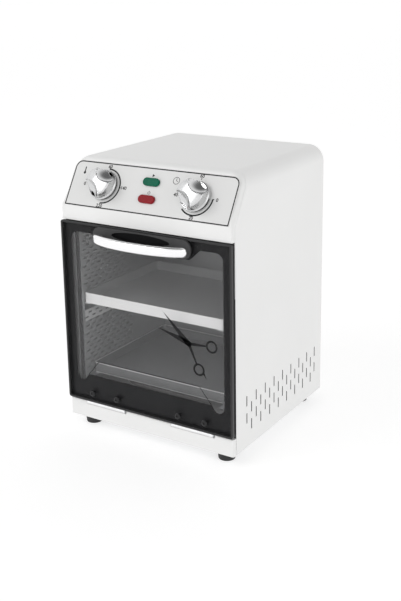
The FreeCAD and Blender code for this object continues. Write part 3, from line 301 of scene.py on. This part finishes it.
finishes = {
    "casing_white": powderCoat("whitePowderCoat", casingLook),
    "overlay_white": moulded("panelFilm", {
        "shade": (0.66, 0.66, 0.655), "light": (0.70, 0.70, 0.695), "cloud": 14, "grain": 1800,
        "depth": 0.000006, "gloss": 0.42, "glossSpread": 0.06}),
    "dark_glass": smokedGlass("smokedGlass", {
        "shade": (0.014, 0.014, 0.015), "light": (0.02, 0.02, 0.021), "haze": 7,
        "gloss": 0.03, "glossSpread": 0.03, "cover": 0.02, "shine": 0.25,
        "rim": 2.5, "edge": (0.030, 0.030, 0.031)}),
    "black_plastic": moulded("blackPlastic", {
        "shade": (0.013, 0.013, 0.014), "light": (0.02, 0.02, 0.021), "cloud": 40, "grain": 2200,
        "depth": 0.00002, "gloss": 0.36, "glossSpread": 0.1}),
    "ivory_plastic": moulded("ivoryPlastic", {
        "shade": (0.62, 0.58, 0.46), "light": (0.70, 0.66, 0.54), "cloud": 60, "grain": 1500,
        "depth": 0.00002, "gloss": 0.45, "glossSpread": 0.1}),
    "zinc_steel": zincPlate("zincPlate", zincLook),
    "chamber_aluminium": rolledSheet("chamberSheet", sheetLook),
    "bright_chrome": plating("brightPlating", {
        "shade": (0.60, 0.605, 0.61), "light": (0.70, 0.70, 0.705), "haze": 90, "flow": 60,
        "gloss": 0.16, "glossSpread": 0.08, "depth": 0.000004}),
    "heater_tube": plating("heaterTube", {
        "shade": (0.11, 0.105, 0.10), "light": (0.22, 0.21, 0.205), "haze": 45, "flow": 900,
        "gloss": 0.42, "glossSpread": 0.25, "depth": 0.00003}),
    "copper_tube": plating("copperTube", {
        "shade": (0.60, 0.30, 0.18), "light": (0.80, 0.46, 0.30), "haze": 60, "flow": 500,
        "gloss": 0.28, "glossSpread": 0.2, "depth": 0.00002}),
    "ceramic": moulded("ceramic", {
        "shade": (0.74, 0.71, 0.64), "light": (0.84, 0.82, 0.76), "cloud": 90, "grain": 1200,
        "depth": 0.00005, "gloss": 0.62, "glossSpread": 0.15}),
    "wool": fibre("mineralWool", {
        "shade": (0.42, 0.38, 0.28), "light": (0.72, 0.68, 0.56), "tuft": 260,
        "along": (1, 1, 4), "gloss": 0.9, "depth": 0.0006}),
    "green_lens": lampLens("greenLens", dict(
        lensLook, shade=(0.0, 0.07, 0.035), light=(0.0, 0.15, 0.085))),
    "red_lens": lampLens("redLens", dict(
        lensLook, shade=(0.17, 0.006, 0.010), light=(0.32, 0.014, 0.022))),
    "foot_rubber": moulded("footRubber", {
        "shade": (0.010, 0.010, 0.011), "light": (0.02, 0.02, 0.021), "cloud": 60, "grain": 1400,
        "depth": 0.00004, "gloss": 0.55, "glossSpread": 0.15}),
    "seal_rubber": moulded("doorSeal", {
        "shade": (0.20, 0.20, 0.205), "light": (0.28, 0.28, 0.285), "cloud": 60, "grain": 1400,
        "depth": 0.00004, "gloss": 0.5, "glossSpread": 0.15}),
    "magnet": moulded("magnet", {
        "shade": (0.02, 0.02, 0.022), "light": (0.06, 0.06, 0.064), "cloud": 80, "grain": 700,
        "depth": 0.00005, "gloss": 0.5, "glossSpread": 0.2}),
}

# Zones of single nodes: painted highlights on the folds of the trays, painted light in a patch low
# on the left duct cover, painted shade on the front ends of both covers and on the walls in the
# casing's slots
zoneSizes = {
    "lip": 1.4, "hem": 0.8, "end": 0.6,
    "wornDown": 15, "wornHalfHeight": 11, "wornBack": 42, "wornHalfDepth": 40,
    "skin": 0.15, "plainRear": 15, "slotHeight": 110, "slotHalfHeight": 90,
}
zone = {name: value * mm for name, value in zoneSizes.items()}
paintedHighlight, paintedShade = (0.97, 0.97, 0.97), (0.03, 0.03, 0.031)
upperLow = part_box("upper_tray")[0]
lowerLow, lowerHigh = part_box("lower_tray")
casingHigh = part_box("outer_casing")[1]
# painted highlights: near-white bands on the upper tray's front lip and on the lower tray's hem
# and rim
upperLipHighlight = (paintedHighlight, ((1, upperLow.y, zone["lip"]),))
lowerHemHighlight = (paintedHighlight, ((2, lowerLow.z, zone["hem"]),))
lowerRimHighlight = (paintedHighlight, ((2, lowerHigh.z, zone["hem"]),))
# painted shade: the front ends of both duct covers are painted dark
ductEndShade = (paintedShade, ((1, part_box("duct_cover_left")[0].y, zone["end"]),))
# painted light: a near-white patch low on the left duct cover, below the upper tray, in place of
# its lit perforations
ductLitPatch = (paintedHighlight, ((2, upperLow.z - zone["wornDown"], zone["wornHalfHeight"]),
                     (1, upperLow.y + zone["wornBack"], zone["wornHalfDepth"])))
# painted shade: the walls inside the casing's slots are painted dark
slotShade = (paintedShade, ((0, 0, casingHigh.x - zone["skin"]), (1, 0, casingHigh.y - zone["plainRear"]),
                   (2, zone["slotHeight"], zone["slotHalfHeight"])))
ownFinish = {
    "upper_tray": rolledSheet("upperTraySheet", dict(
        trayLook, shade=(0.54, 0.545, 0.55), light=(0.62, 0.625, 0.63), zones=(upperLipHighlight,))),
    # painted shade: the lower tray's sheet is painted darker than the upper tray's
    "lower_tray": rolledSheet("lowerTraySheet", dict(
        trayLook, shade=(0.26, 0.265, 0.27), light=(0.34, 0.345, 0.35),
        zones=(lowerHemHighlight, lowerRimHighlight))),
    # painted shade: the chamber frame's sheet is painted near black, darker than the other chamber
    # sheet
    "chamber_frame": rolledSheet("chamberFrameSheet", dict(
        trayLook, shade=(0.10, 0.102, 0.105), light=(0.14, 0.142, 0.145))),
    "duct_cover_left": rolledSheet("leftDuctSheet", dict(sheetLook, zones=(ductLitPatch, ductEndShade))),
    "duct_cover_right": rolledSheet("rightDuctSheet", dict(sheetLook, zones=(ductEndShade,))),
    "outer_casing": powderCoat("casingPowderCoat", dict(casingLook, zones=(slotShade,))),
    "door_inner_frame": moulded("innerFrameEnamel", {
        "shade": (0.014, 0.014, 0.015), "light": (0.02, 0.02, 0.021), "cloud": 20, "grain": 1500,
        "depth": 0.000005, "gloss": 0.5, "glossSpread": 0.1, "shine": 0.1}),
    "handle_bar": plating("handlePlating", {
        "shade": (0.90, 0.90, 0.905), "light": (0.95, 0.95, 0.955), "haze": 90, "flow": 60,
        "gloss": 0.16, "glossSpread": 0.05, "depth": 0.000002}),
    "handle_surround": shadedHollow("surroundPlastic", {
        "shade": (0.055, 0.055, 0.056), "light": (0.07, 0.07, 0.071),
        "black": (0.006, 0.006, 0.0065), "grain": 1800, "cloud": 40, "gloss": 0.42,
        "glossSpread": 0.1, "depth": 0.00002, "shine": 0.08,
        "half": (40.5, 6.1), "middle": 241.5, "below": 0.15}),
}
leafLook = dict(zincLook, shade=(0.82, 0.82, 0.83), light=(0.92, 0.92, 0.92),
                gloss=0.3, glossSpread=0.15, depth=0.000005)
for leaf in ("left_fixed", "right_fixed", "left_door", "right_door"):
    ownFinish[f"hinge_{leaf}_leaf"] = zincPlate(leaf + "LeafPlate", leafLook)
ink = moulded("blackInk", {
    "shade": (0.014, 0.014, 0.015), "light": (0.024, 0.024, 0.025), "cloud": 30, "grain": 1500,
    "depth": 0.000004, "gloss": 0.3, "glossSpread": 0.06, "shine": 0.1})
# painted reflection: a pale grey veil over the window, in place of the glass's sheen
windowTint = sheenVeilFilm("windowTint", {
    "shade": (0.36, 0.36, 0.365), "light": (0.42, 0.42, 0.425), "haze": 9, "gloss": 0.6,
    "cover": 0.08, "coverSpread": 0.02})
screwBlack = moulded("screwBlack", {
    "shade": (0.010, 0.010, 0.011), "light": (0.016, 0.016, 0.017), "cloud": 40, "grain": 2200,
    "depth": 0.000002, "gloss": 0.10, "glossSpread": 0.04, "shine": 0.3})


def finishFor(name):
    return ownFinish.get(name) or finishes[slotOf[name]]


def coat(piece, finish):
    piece.data.materials.clear()
    piece.data.materials.append(finish)


for name, node in nodes.items():
    coat(node, finishFor(name))
print("node finishes made:", len(finishes) + len(ownFinish))


def linked(name, data):
    thing = bpy.data.objects.new(name, data)
    scene.collection.objects.link(thing)
    return thing


def meshFrom(name, shape):
    mesh = bpy.data.meshes.new(name)
    shape.to_mesh(mesh)
    shape.free()
    return mesh


def merged(nodeName):  # a node's mesh with its loose triangles joined
    shape = bmesh.new()
    shape.from_mesh(nodes[nodeName].data)
    bmesh.ops.remove_doubles(shape, verts=shape.verts, dist=0.01 * mm)
    return shape


def evaluated(thing):
    bpy.context.view_layer.update()
    graph = bpy.context.evaluated_depsgraph_get()
    return bpy.data.meshes.new_from_object(thing.evaluated_get(graph))


def settle(piece):  # the evaluated shape becomes the plain mesh, and no modifier stays
    mesh = evaluated(piece)
    mesh.name = piece.name
    piece.modifiers.clear()
    piece.data = mesh


softening = {"steps": 2, "crease": 30, "flat": 0.5}


def dressed(nodeName, edge):  # smooth copy of a node with softened edges
    shape = merged(nodeName)
    bmesh.ops.dissolve_limit(shape, angle_limit=math.radians(softening["flat"]),
                             verts=shape.verts, edges=shape.edges)
    piece = linked(nodeName + "_dressed", meshFrom(nodeName + "_dressed", shape))
    piece.data.shade_smooth()
    crease = math.radians(softening["crease"])
    piece.data.set_sharp_from_angle(angle=crease)
    if edge:
        bevel = piece.modifiers.new("soften", "BEVEL")
        bevel.width, bevel.segments = edge * mm, softening["steps"]
        bevel.limit_method, bevel.angle_limit = "ANGLE", crease
        bevel.use_clamp_overlap = False
        bevel.harden_normals = True
        settle(piece)
    coat(piece, finishFor(nodeName))
    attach(piece, bodyOf[nodeName])
    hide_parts(nodeName)


softEdges = {  # 0 smooths a node and leaves its edges
    "outer_casing": 0.25, "control_fascia": 0.25, "lower_rail": 0.5, "back_panel": 0.2,
    "base_pan": 0.3, "foot_front_left": 0.6, "foot_front_right": 0.6, "foot_rear_left": 0.6,
    "foot_rear_right": 0.6, "temperature_knob": 0.5, "timer_knob": 0.5, "handle_bar": 0.3,
    "handle_surround": 0.4, "run_lamp_lens": 0, "power_lamp_lens": 0, "door_inner_frame": 0.2,
    "door_glass": 0.3, "chamber_frame": 0.2, "upper_tray": 0.2, "lower_tray": 0.2,
    "heater_lower": 0, "heater_upper": 0, "hinge_left_fixed_leaf": 0.15,
    "hinge_right_fixed_leaf": 0.15, "hinge_left_door_leaf": 0.15, "hinge_right_door_leaf": 0.15,
    "hinge_pins": 0.15, "cable_gland": 0.3,
}
for name, edge in softEdges.items():
    dressed(name, edge)
print("nodes dressed:", len(softEdges))


# Flat drawings: closed outlines and figures in one plane, gathered into one thin mesh
def arcPoints(centre, radius, start, finish, steps):  # anticlockwise from 3 o'clock
    angles = [math.radians(start + (finish - start) * step / steps) for step in range(steps + 1)]
    return [(centre[0] + radius * math.cos(a), centre[1] + radius * math.sin(a)) for a in angles]


def band(centre, radius, width, start, finish, steps=40):  # arc with a width
    outer = arcPoints(centre, radius + width / 2, start, finish, steps)
    return outer + arcPoints(centre, radius - width / 2, finish, start, steps)


def stroke(first, second, width):
    a, b = Vector(first), Vector(second)
    side = (b - a).orthogonal().normalized() * width / 2
    return [a + side, b + side, b - side, a - side]


def cornered(corners, steps=8):  # corners as x, y, radius; the path turns with that radius
    path = []
    for index, (x, y, radius) in enumerate(corners):
        here = Vector((x, y))
        before = (Vector(corners[index - 1][:2]) - here).normalized()
        after = (Vector(corners[(index + 1) % len(corners)][:2]) - here).normalized()
        half = before.angle(after) / 2
        reach = radius / math.tan(half)
        centre = here + (before + after).normalized() * (radius / math.sin(half))
        start, finish = here + before * reach - centre, here + after * reach - centre
        turn = start.angle_signed(finish)
        for step in range(steps + 1):
            path.append(centre + start @ Matrix.Rotation(turn * step / steps, 2))
    return path


def plate(half, low, high, lowRadius, highRadius):  # outline with equal left and right halves
    return cornered([(-half, low, lowRadius), (half, low, lowRadius),
                     (half, high, highRadius), (-half, high, highRadius)])


class Drawing:
    def __init__(self, name, place, lift, thickness):
        self.name, self.place, self.lift, self.thickness = name, place, lift, thickness
        self.shape = bmesh.new()

    def take(self, data, shift):
        thing = linked("sketch", data)
        mesh = evaluated(thing)
        mesh.transform(self.place @ Matrix.Scale(mm, 4)
                       @ Matrix.Translation((*shift, self.lift)))
        self.shape.from_mesh(mesh)
        bpy.data.objects.remove(thing)

    def fill(self, *loops):
        curve = bpy.data.curves.new("outline", "CURVE")
        curve.dimensions, curve.fill_mode, curve.extrude = "2D", "BOTH", self.thickness / 2
        for loop in loops:
            spline = curve.splines.new("POLY")
            spline.points.add(len(loop) - 1)
            for point, (x, y) in zip(spline.points, loop):
                point.co = (x, y, 0, 1)
            spline.use_cyclic_u = True
        self.take(curve, (0, 0))

    def write(self, words, x, y, size, weight):
        text = bpy.data.curves.new("words", "FONT")
        text.body, text.size, text.extrude = words, size, self.thickness / 2
        text.align_x, text.align_y, text.offset = "CENTER", "CENTER", weight
        text.resolution_u = 4
        self.take(text, (x, y))

    def piece(self, finish, body, slot):
        bmesh.ops.remove_doubles(self.shape, verts=self.shape.verts, dist=0.0005 * mm)
        piece = linked(self.name, meshFrom(self.name, self.shape))
        coat(piece, finish)
        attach(piece, body)


# Print on the sloped panel: border, two dials with their figures, and plain signs
panelMarks = {
    "proud": 0.03, "ink": 0.04,
    "border": (112.4, 1.3, 57.3), "line": 1.4, "lowCorner": (1, 0.6), "highCorner": 9,
    "left": (-62.3, 29), "leftArc": (90, -90), "right": (64, 29), "rightArc": (0, -135),
    "arcRadius": 21, "arcWidth": 1.8,
    "tick": 0.9, "tickFrom": 20.5, "tickTo": 22.8, "tickAngles": (90, 0, -90, 180),
    "figure": 5.6, "figureWeight": 0.14,
    "figures": (("60", -62.3, 53), ("140", -35.6, 29), ("220", -62.3, 4.6), ("0", -92, 29),
                ("60", 64, 54), ("0", 90.5, 28.6), ("20", 64, 5.0), ("40", 36.5, 29)),
}
signMarks = {
    "bulb": (-97, 42.6), "bulbRadius": 1.7,
    "stem": ((-97.7, 43.4, 0.1), (-96.3, 43.4, 0.1), (-96.3, 50, 0.65), (-97.7, 50, 0.65)),
    "clock": (32.4, 45.3), "clockRadii": (4.4, 3.8), "hands": ((32.4, 48.2), (34.6, 44.4)),
    "hand": 0.6,
    "triangle": ((-0.8, 46.4), (2.4, 48.2), (-0.8, 50)),
    "mains": (0.7, 27.4), "mainsRadius": 1.6, "mainsArc": (125, 415), "mainsLine": 0.5,
    "mainsStroke": ((0.7, 27.6), (0.7, 29.8)),
}
marks = panelMarks
drawn = Drawing("panel_print", panelPlace, panel["film"] + marks["proud"], marks["ink"])
half, low, high = marks["border"]
inset, corner = marks["line"], marks["highCorner"]
drawn.fill(plate(half, low, high, marks["lowCorner"][0], corner),
           plate(half - inset, low + inset, high - inset, marks["lowCorner"][1], corner - inset))
drawn.fill(band(marks["left"], marks["arcRadius"], marks["arcWidth"], *marks["leftArc"]))
drawn.fill(band(marks["right"], marks["arcRadius"], marks["arcWidth"], *marks["rightArc"]))
for words, x, y in marks["figures"]:
    drawn.write(words, x, y, marks["figure"], marks["figureWeight"])
for centre in (Vector(marks["left"]), Vector(marks["right"])):
    for angle in marks["tickAngles"]:
        a = math.radians(angle)
        way = Vector((math.cos(a), math.sin(a)))
        drawn.fill(stroke(centre + way * marks["tickFrom"], centre + way * marks["tickTo"],
                          marks["tick"]))
marks = signMarks
drawn.fill(arcPoints(marks["bulb"], marks["bulbRadius"], start=0, finish=345, steps=18))
drawn.fill(cornered(marks["stem"]))
drawn.fill(*[arcPoints(marks["clock"], radius, start=0, finish=350, steps=30)
             for radius in marks["clockRadii"]])
for tip in marks["hands"]:
    drawn.fill(stroke(marks["clock"], tip, marks["hand"]))
drawn.fill(marks["triangle"])
drawn.fill(band(marks["mains"], marks["mainsRadius"], marks["mainsLine"], *marks["mainsArc"]))
drawn.fill(stroke(*marks["mainsStroke"], marks["mainsLine"]))
drawn.piece(ink, "cabinet", "black_plastic")
print("panel print drawn")

# Print behind the door's glass: dark border round a clear window, a tab outline, and a pale grey
# veil of painted reflection
doorMarks = {
    "behind": 0.10, "ink": 0.06, "tintBehind": 0.18, "tint": 0.04, "margin": 0.5, "corner": 2.6,
    # right half of the window as x, y, radius, from the handle's notch down to the tab
    "window": ((62, 224.5, 5), (76, 237.2, 4), (105.5, 237.2, 10), (105.5, 49, 8.5),
               (94.5, 49, 5), (88, 57.2, 0.6)),
    "tab": ((-88, 57.2), (-72, 76.3), (72, 76.3), (88, 57.2)), "tabLine": 0.9,
}
marks = doorMarks
drawn = Drawing("door_print", doorPlace, -marks["behind"], marks["ink"])
half = glassHigh.x / mm - marks["margin"]
low = (glassLow.z - bottomZ) / mm + marks["margin"]
high = (glassHigh.z - bottomZ) / mm - marks["margin"]
window = cornered([*[(-x, y, radius) for x, y, radius in reversed(marks["window"])],
                   *marks["window"]])
drawn.fill(plate(half, low, high, marks["corner"], marks["corner"]), window)
for first, second in zip(marks["tab"], marks["tab"][1:]):
    drawn.fill(stroke(first, second, marks["tabLine"]))
drawn.piece(ink, "door", "black_frame")
# painted reflection: a pale grey veil over the window's clear part
drawn = Drawing("window_tint", doorPlace, -marks["tintBehind"], marks["tint"])
drawn.fill(window)
drawn.piece(windowTint, "door", "dark_glass")

# Plain pair of scissors printed beside it, drawn about its pivot
scissorMarks = {
    "pivot": (58.7, 125.6), "tips": ((24.2, 158.2), (14.6, 138.0)),
    "bladeRoot": 7.6, "rootAt": 12, "outerShare": 0.5, "innerShare": 0.3,
    "boss": 3.6, "bossShare": 0.9, "screw": 1.0,
    "rings": ((89.2, 127.4), (71.9, 96.8)), "ring": 7.6, "ringHole": 5.2,
    "shank": 4.0, "neck": 2.0, "rest": ((5.4, -4.4), (7.2, -2.4), (10.2, -10.6)),
}
marks = scissorMarks
drawn = Drawing("door_scissors", doorPlace, -doorMarks["behind"], doorMarks["ink"])
pivot = Vector(marks["pivot"])
for tip, ring, bulge in zip(marks["tips"], marks["rings"], (1, -1)):
    tip, ring = Vector(tip), Vector(ring)
    along = (tip - pivot).normalized()
    side = along.orthogonal() * bulge
    root = pivot + along * marks["rootAt"]
    shoulder = side * marks["boss"] * marks["bossShare"]
    drawn.fill([tip, root + side * marks["bladeRoot"] * marks["outerShare"], pivot + shoulder,
                pivot - shoulder, root - side * marks["bladeRoot"] * marks["innerShare"]])
    away = (ring - pivot).normalized()
    end = ring - away * (marks["ring"] + marks["ringHole"]) / 2
    across = away.orthogonal()
    shank, neck = across * marks["shank"] / 2, across * marks["neck"] / 2
    drawn.fill([pivot + shank, end + neck, end - neck, pivot - shank])
    drawn.fill(*[arcPoints(ring, marks[radius], start=0, finish=350, steps=35)
                 for radius in ("ring", "ringHole")])
drawn.fill(*[arcPoints(pivot, marks[radius], start=0, finish=345, steps=23)
             for radius in ("boss", "screw")])
drawn.fill([Vector(marks["rings"][1]) + Vector(point) for point in marks["rest"]])
drawn.piece(ink, "door", "black_frame")
print("door print drawn")


# Screws: one head with a cross cut in it, set out on points by a node tree
def crossHead(look):
    shape = bmesh.new()
    count = look["sides"]
    angles = [math.tau * k / count for k in range(count)]
    rings = [[shape.verts.new((radius * math.cos(a) * mm, radius * math.sin(a) * mm, height * mm))
              for a in angles] for radius, height in look["profile"]]
    for lower, upper in zip(rings, rings[1:]):
        for k in range(count):
            after = (k + 1) % count
            shape.faces.new((lower[k], lower[after], upper[after], upper[k]))
    shape.faces.new(rings[-1])
    shape.faces.new(list(reversed(rings[0])))
    head = linked("screwHead", meshFrom("screwHead", shape))
    head.data.shade_smooth()
    top = look["profile"][-1][1] * mm
    cutters = []
    for turn in (0, math.pi / 2):
        blade = bmesh.new()
        bmesh.ops.create_cube(blade, size=1)
        blade.transform(Matrix.Rotation(turn, 4, "Z") @ Matrix.Translation((0, 0, top))
                        @ Matrix.Diagonal((look["crossLength"] * mm, look["crossWidth"] * mm,
                                           look["crossDepth"] * 2 * mm, 1)))
        cutters.append(linked("blade", meshFrom("blade", blade)))
        carve = head.modifiers.new("carve", "BOOLEAN")
        carve.object, carve.operation, carve.solver = cutters[-1], "DIFFERENCE", "EXACT"
    settle(head)
    for cutter in cutters:
        bpy.data.objects.remove(cutter)
    head.data.set_sharp_from_angle(angle=math.radians(look["crease"]))
    return head


def screwTree(finish, seed):
    tree = bpy.data.node_groups.new("setOutScrews", "GeometryNodeTree")
    for name, kind in (("Geometry", "Geometry"), ("Head", "Object"), ("Facing", "Vector"),
                       ("Size", "Float"), ("Turn", "Float")):
        tree.interface.new_socket(name, in_out="INPUT", socket_type="NodeSocket" + kind)
    tree.interface.new_socket("Geometry", in_out="OUTPUT", socket_type="NodeSocketGeometry")
    given, info, onPoints, rotate, chance, spin, real, cover, out = (
        tree.nodes.new(kind) for kind in (
            "NodeGroupInput", "GeometryNodeObjectInfo", "GeometryNodeInstanceOnPoints",
            "GeometryNodeRotateInstances", "FunctionNodeRandomValue", "ShaderNodeCombineXYZ",
            "GeometryNodeRealizeInstances", "GeometryNodeSetMaterial", "NodeGroupOutput"))
    cover.inputs["Material"].default_value = finish
    chance.data_type = "FLOAT"
    chance.inputs["Seed"].default_value = seed
    rotate.inputs["Local Space"].default_value = True
    for source, outlet, target, inlet in (  # 3 and 1 are the random number's limit and value
        (given, "Geometry", onPoints, "Points"), (given, "Head", info, "Object"),
        (info, "Geometry", onPoints, "Instance"), (given, "Facing", onPoints, "Rotation"),
        (given, "Size", onPoints, "Scale"), (onPoints, 0, rotate, "Instances"),
        (given, "Turn", chance, 3), (chance, 1, spin, "Z"), (spin, 0, rotate, "Rotation"),
        (rotate, 0, real, 0), (real, 0, cover, "Geometry"), (cover, 0, out, 0),
    ):
        tree.links.new(source.outputs[outlet], target.inputs[inlet])
    return tree


def screwMiddles(nodeName):  # middle of each separate solid, ordered to a tenth of a millimetre
    shape = merged(nodeName)
    left, found = set(shape.verts), []
    while left:
        pile, island = [left.pop()], []
        while pile:
            vert = pile.pop()
            island.append(vert.co.copy())
            for edge in vert.link_edges:
                other = edge.other_vert(vert)
                if other in left:
                    left.discard(other)
                    pile.append(other)
        lows = [min(v[i] for v in island) for i in range(3)]
        highs = [max(v[i] for v in island) for i in range(3)]
        found.append((lows, [(low + high) / 2 for low, high in zip(lows, highs)]))
    shape.free()
    found.sort(key=lambda ends: [round(v, 4) for v in ends[0]])
    return [middle for lows, middle in found]


def setOut(name, look, seatY, facing, finish):  # heads over a node's screws, on one plane
    node, head, tree = look["node"], crossHead(look), screwTree(finish, look["seed"])
    mesh = bpy.data.meshes.new(name)
    mesh.from_pydata([(x, seatY, z) for x, y, z in screwMiddles(node)], [], [])
    piece = linked(name, mesh)
    modifier = piece.modifiers.new("set out", "NODES")
    modifier.node_group = tree
    keys = {item.name: item.identifier for item in tree.interface.items_tree
            if item.in_out == "INPUT"}
    for inlet, wanted in (("Head", head), ("Facing", Euler((facing, 0, 0))),
                          ("Size", 1.0), ("Turn", look["turn"])):
        modifier[keys[inlet]] = wanted
    settle(piece)
    bpy.data.objects.remove(head)
    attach(piece, bodyOf[node])
    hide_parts(node)


crossLook = {"crossLength": 3.0, "crossWidth": 0.7, "crossDepth": 0.9, "crease": 35,
             "turn": 3.0, "seed": 7}
doorScrews = dict(crossLook, node="door_screws", sides=28, profile=(
    (1.6, -4), (1.6, 0), (4.0, 0), (4.0, 0.3), (3.85, 0.8), (3.45, 1.25), (2.8, 1.6),
    (2.0, 1.82), (1.2, 1.95)))
backScrews = dict(crossLook, node="back_screws", sides=24, profile=(
    (1.5, -6), (1.5, 0), (3.4, 0), (3.4, 0.7), (3.1, 1.25), (2.4, 1.6), (1.4, 1.75)))
setOut("door_screw_domes", doorScrews, glassLow.y, math.pi / 2, screwBlack)
setOut("back_screw_heads", backScrews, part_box("back_panel")[1].y, -math.pi / 2,
       finishes["zinc_steel"])
print("screws set out")

# Floor, light and camera; these sizes are metres
studio = {
    "floorHalf": 60, "floor": (0.45, 0.45, 0.45), "floorLight": (0.46, 0.46, 0.46),
    "floorCloud": 2, "floorRoughness": 0.9, "glow": 0.64,
    "horizon": 1.04, "zenith": 0.16, "from": 0.6, "to": 0.95,
    "aim": (0, 0, 0.15),
    "keyLight": {"place": (-1.2, -1.6, 1.9), "width": 1.4, "power": 13.0},
    "fillLight": {"place": (1.9, -0.9, 1.1), "width": 1.2, "power": 3.0},
}
floorShape = bmesh.new()
bmesh.ops.create_grid(floorShape, x_segments=1, y_segments=1, size=studio["floorHalf"])
floor = linked("floor", meshFrom("floor", floorShape))
paper = Recipe("palePaper")
paperTint = paper.tint(paper.noise(studio["floorCloud"], 2), studio["floor"], studio["floorLight"])
floor.data.materials.append(paper.surface(
    paperTint, studio["floorRoughness"], oneSided=True,
    Emission_Color=(1, 1, 1, 1), Emission_Strength=studio["glow"]))

world = bpy.data.worlds.new("studio")
scene.world = world
world.use_nodes = True
sky = world.node_tree  # paler towards the horizon, darker overhead
direction = sky.nodes.new("ShaderNodeTexCoord")
split = sky.nodes.new("ShaderNodeSeparateXYZ")
fade = sky.nodes.new("ShaderNodeMapRange")
fade.interpolation_type = "SMOOTHSTEP"
for key, wanted in (("From Min", "from"), ("From Max", "to"),
                    ("To Min", "horizon"), ("To Max", "zenith")):
    fade.inputs[key].default_value = studio[wanted]
sky.links.new(direction.outputs["Generated"], split.inputs[0])
sky.links.new(split.outputs["Z"], fade.inputs["Value"])
sky.links.new(fade.outputs[0], sky.nodes["Background"].inputs["Strength"])
sky.nodes["Background"].inputs["Color"].default_value = (1, 1, 1, 1)

for name in ("keyLight", "fillLight"):
    light = studio[name]
    lamp = bpy.data.lights.new(name, "AREA")
    lamp.shape, lamp.size, lamp.energy = "SQUARE", light["width"], light["power"]
    softbox = linked(name, lamp)
    softbox.location = light["place"]
    softbox.rotation_mode = "QUATERNION"
    towards = Vector(studio["aim"]) - Vector(light["place"])
    softbox.rotation_quaternion = towards.to_track_quat("-Z", "Y")

shot = {  # degrees, millimetres from the casing's lower front edge, and pixels
    "azimuth": 32.42, "down": 14.2, "roll": -0.89, "place": (625.0, -860.3, 529.3),
    "focal": 972.35, "imageHeight": 601, "lift": -79.5, "aside": -0.5, "sensor": 36,
}
azimuth, down, roll = (math.radians(shot[key]) for key in ("azimuth", "down", "roll"))
back = Vector((math.sin(azimuth) * math.cos(down), -math.cos(azimuth) * math.cos(down),
               math.sin(down)))
level = Vector((0, 0, 1)).cross(back).normalized()
upright = back.cross(level)
right = math.cos(roll) * level + math.sin(roll) * upright
up = math.cos(roll) * upright - math.sin(roll) * level
lens = bpy.data.cameras.new("photoCamera")
lens.sensor_width = shot["sensor"]
lens.lens = shot["focal"] / shot["imageHeight"] * shot["sensor"]
lens.shift_x = shot["aside"] / shot["imageHeight"]
lens.shift_y = shot["lift"] / shot["imageHeight"]
camera = linked("photoCamera", lens)
x, y, z = (value * mm for value in shot["place"])
camera.matrix_world = Matrix((
    (right.x, up.x, back.x, x),
    (right.y, up.y, back.y, y + frontY),
    (right.z, up.z, back.z, z + bottomZ),
    (0, 0, 0, 1),
))
scene.camera = camera
scene.view_settings.view_transform = "Standard"
print("studio set")
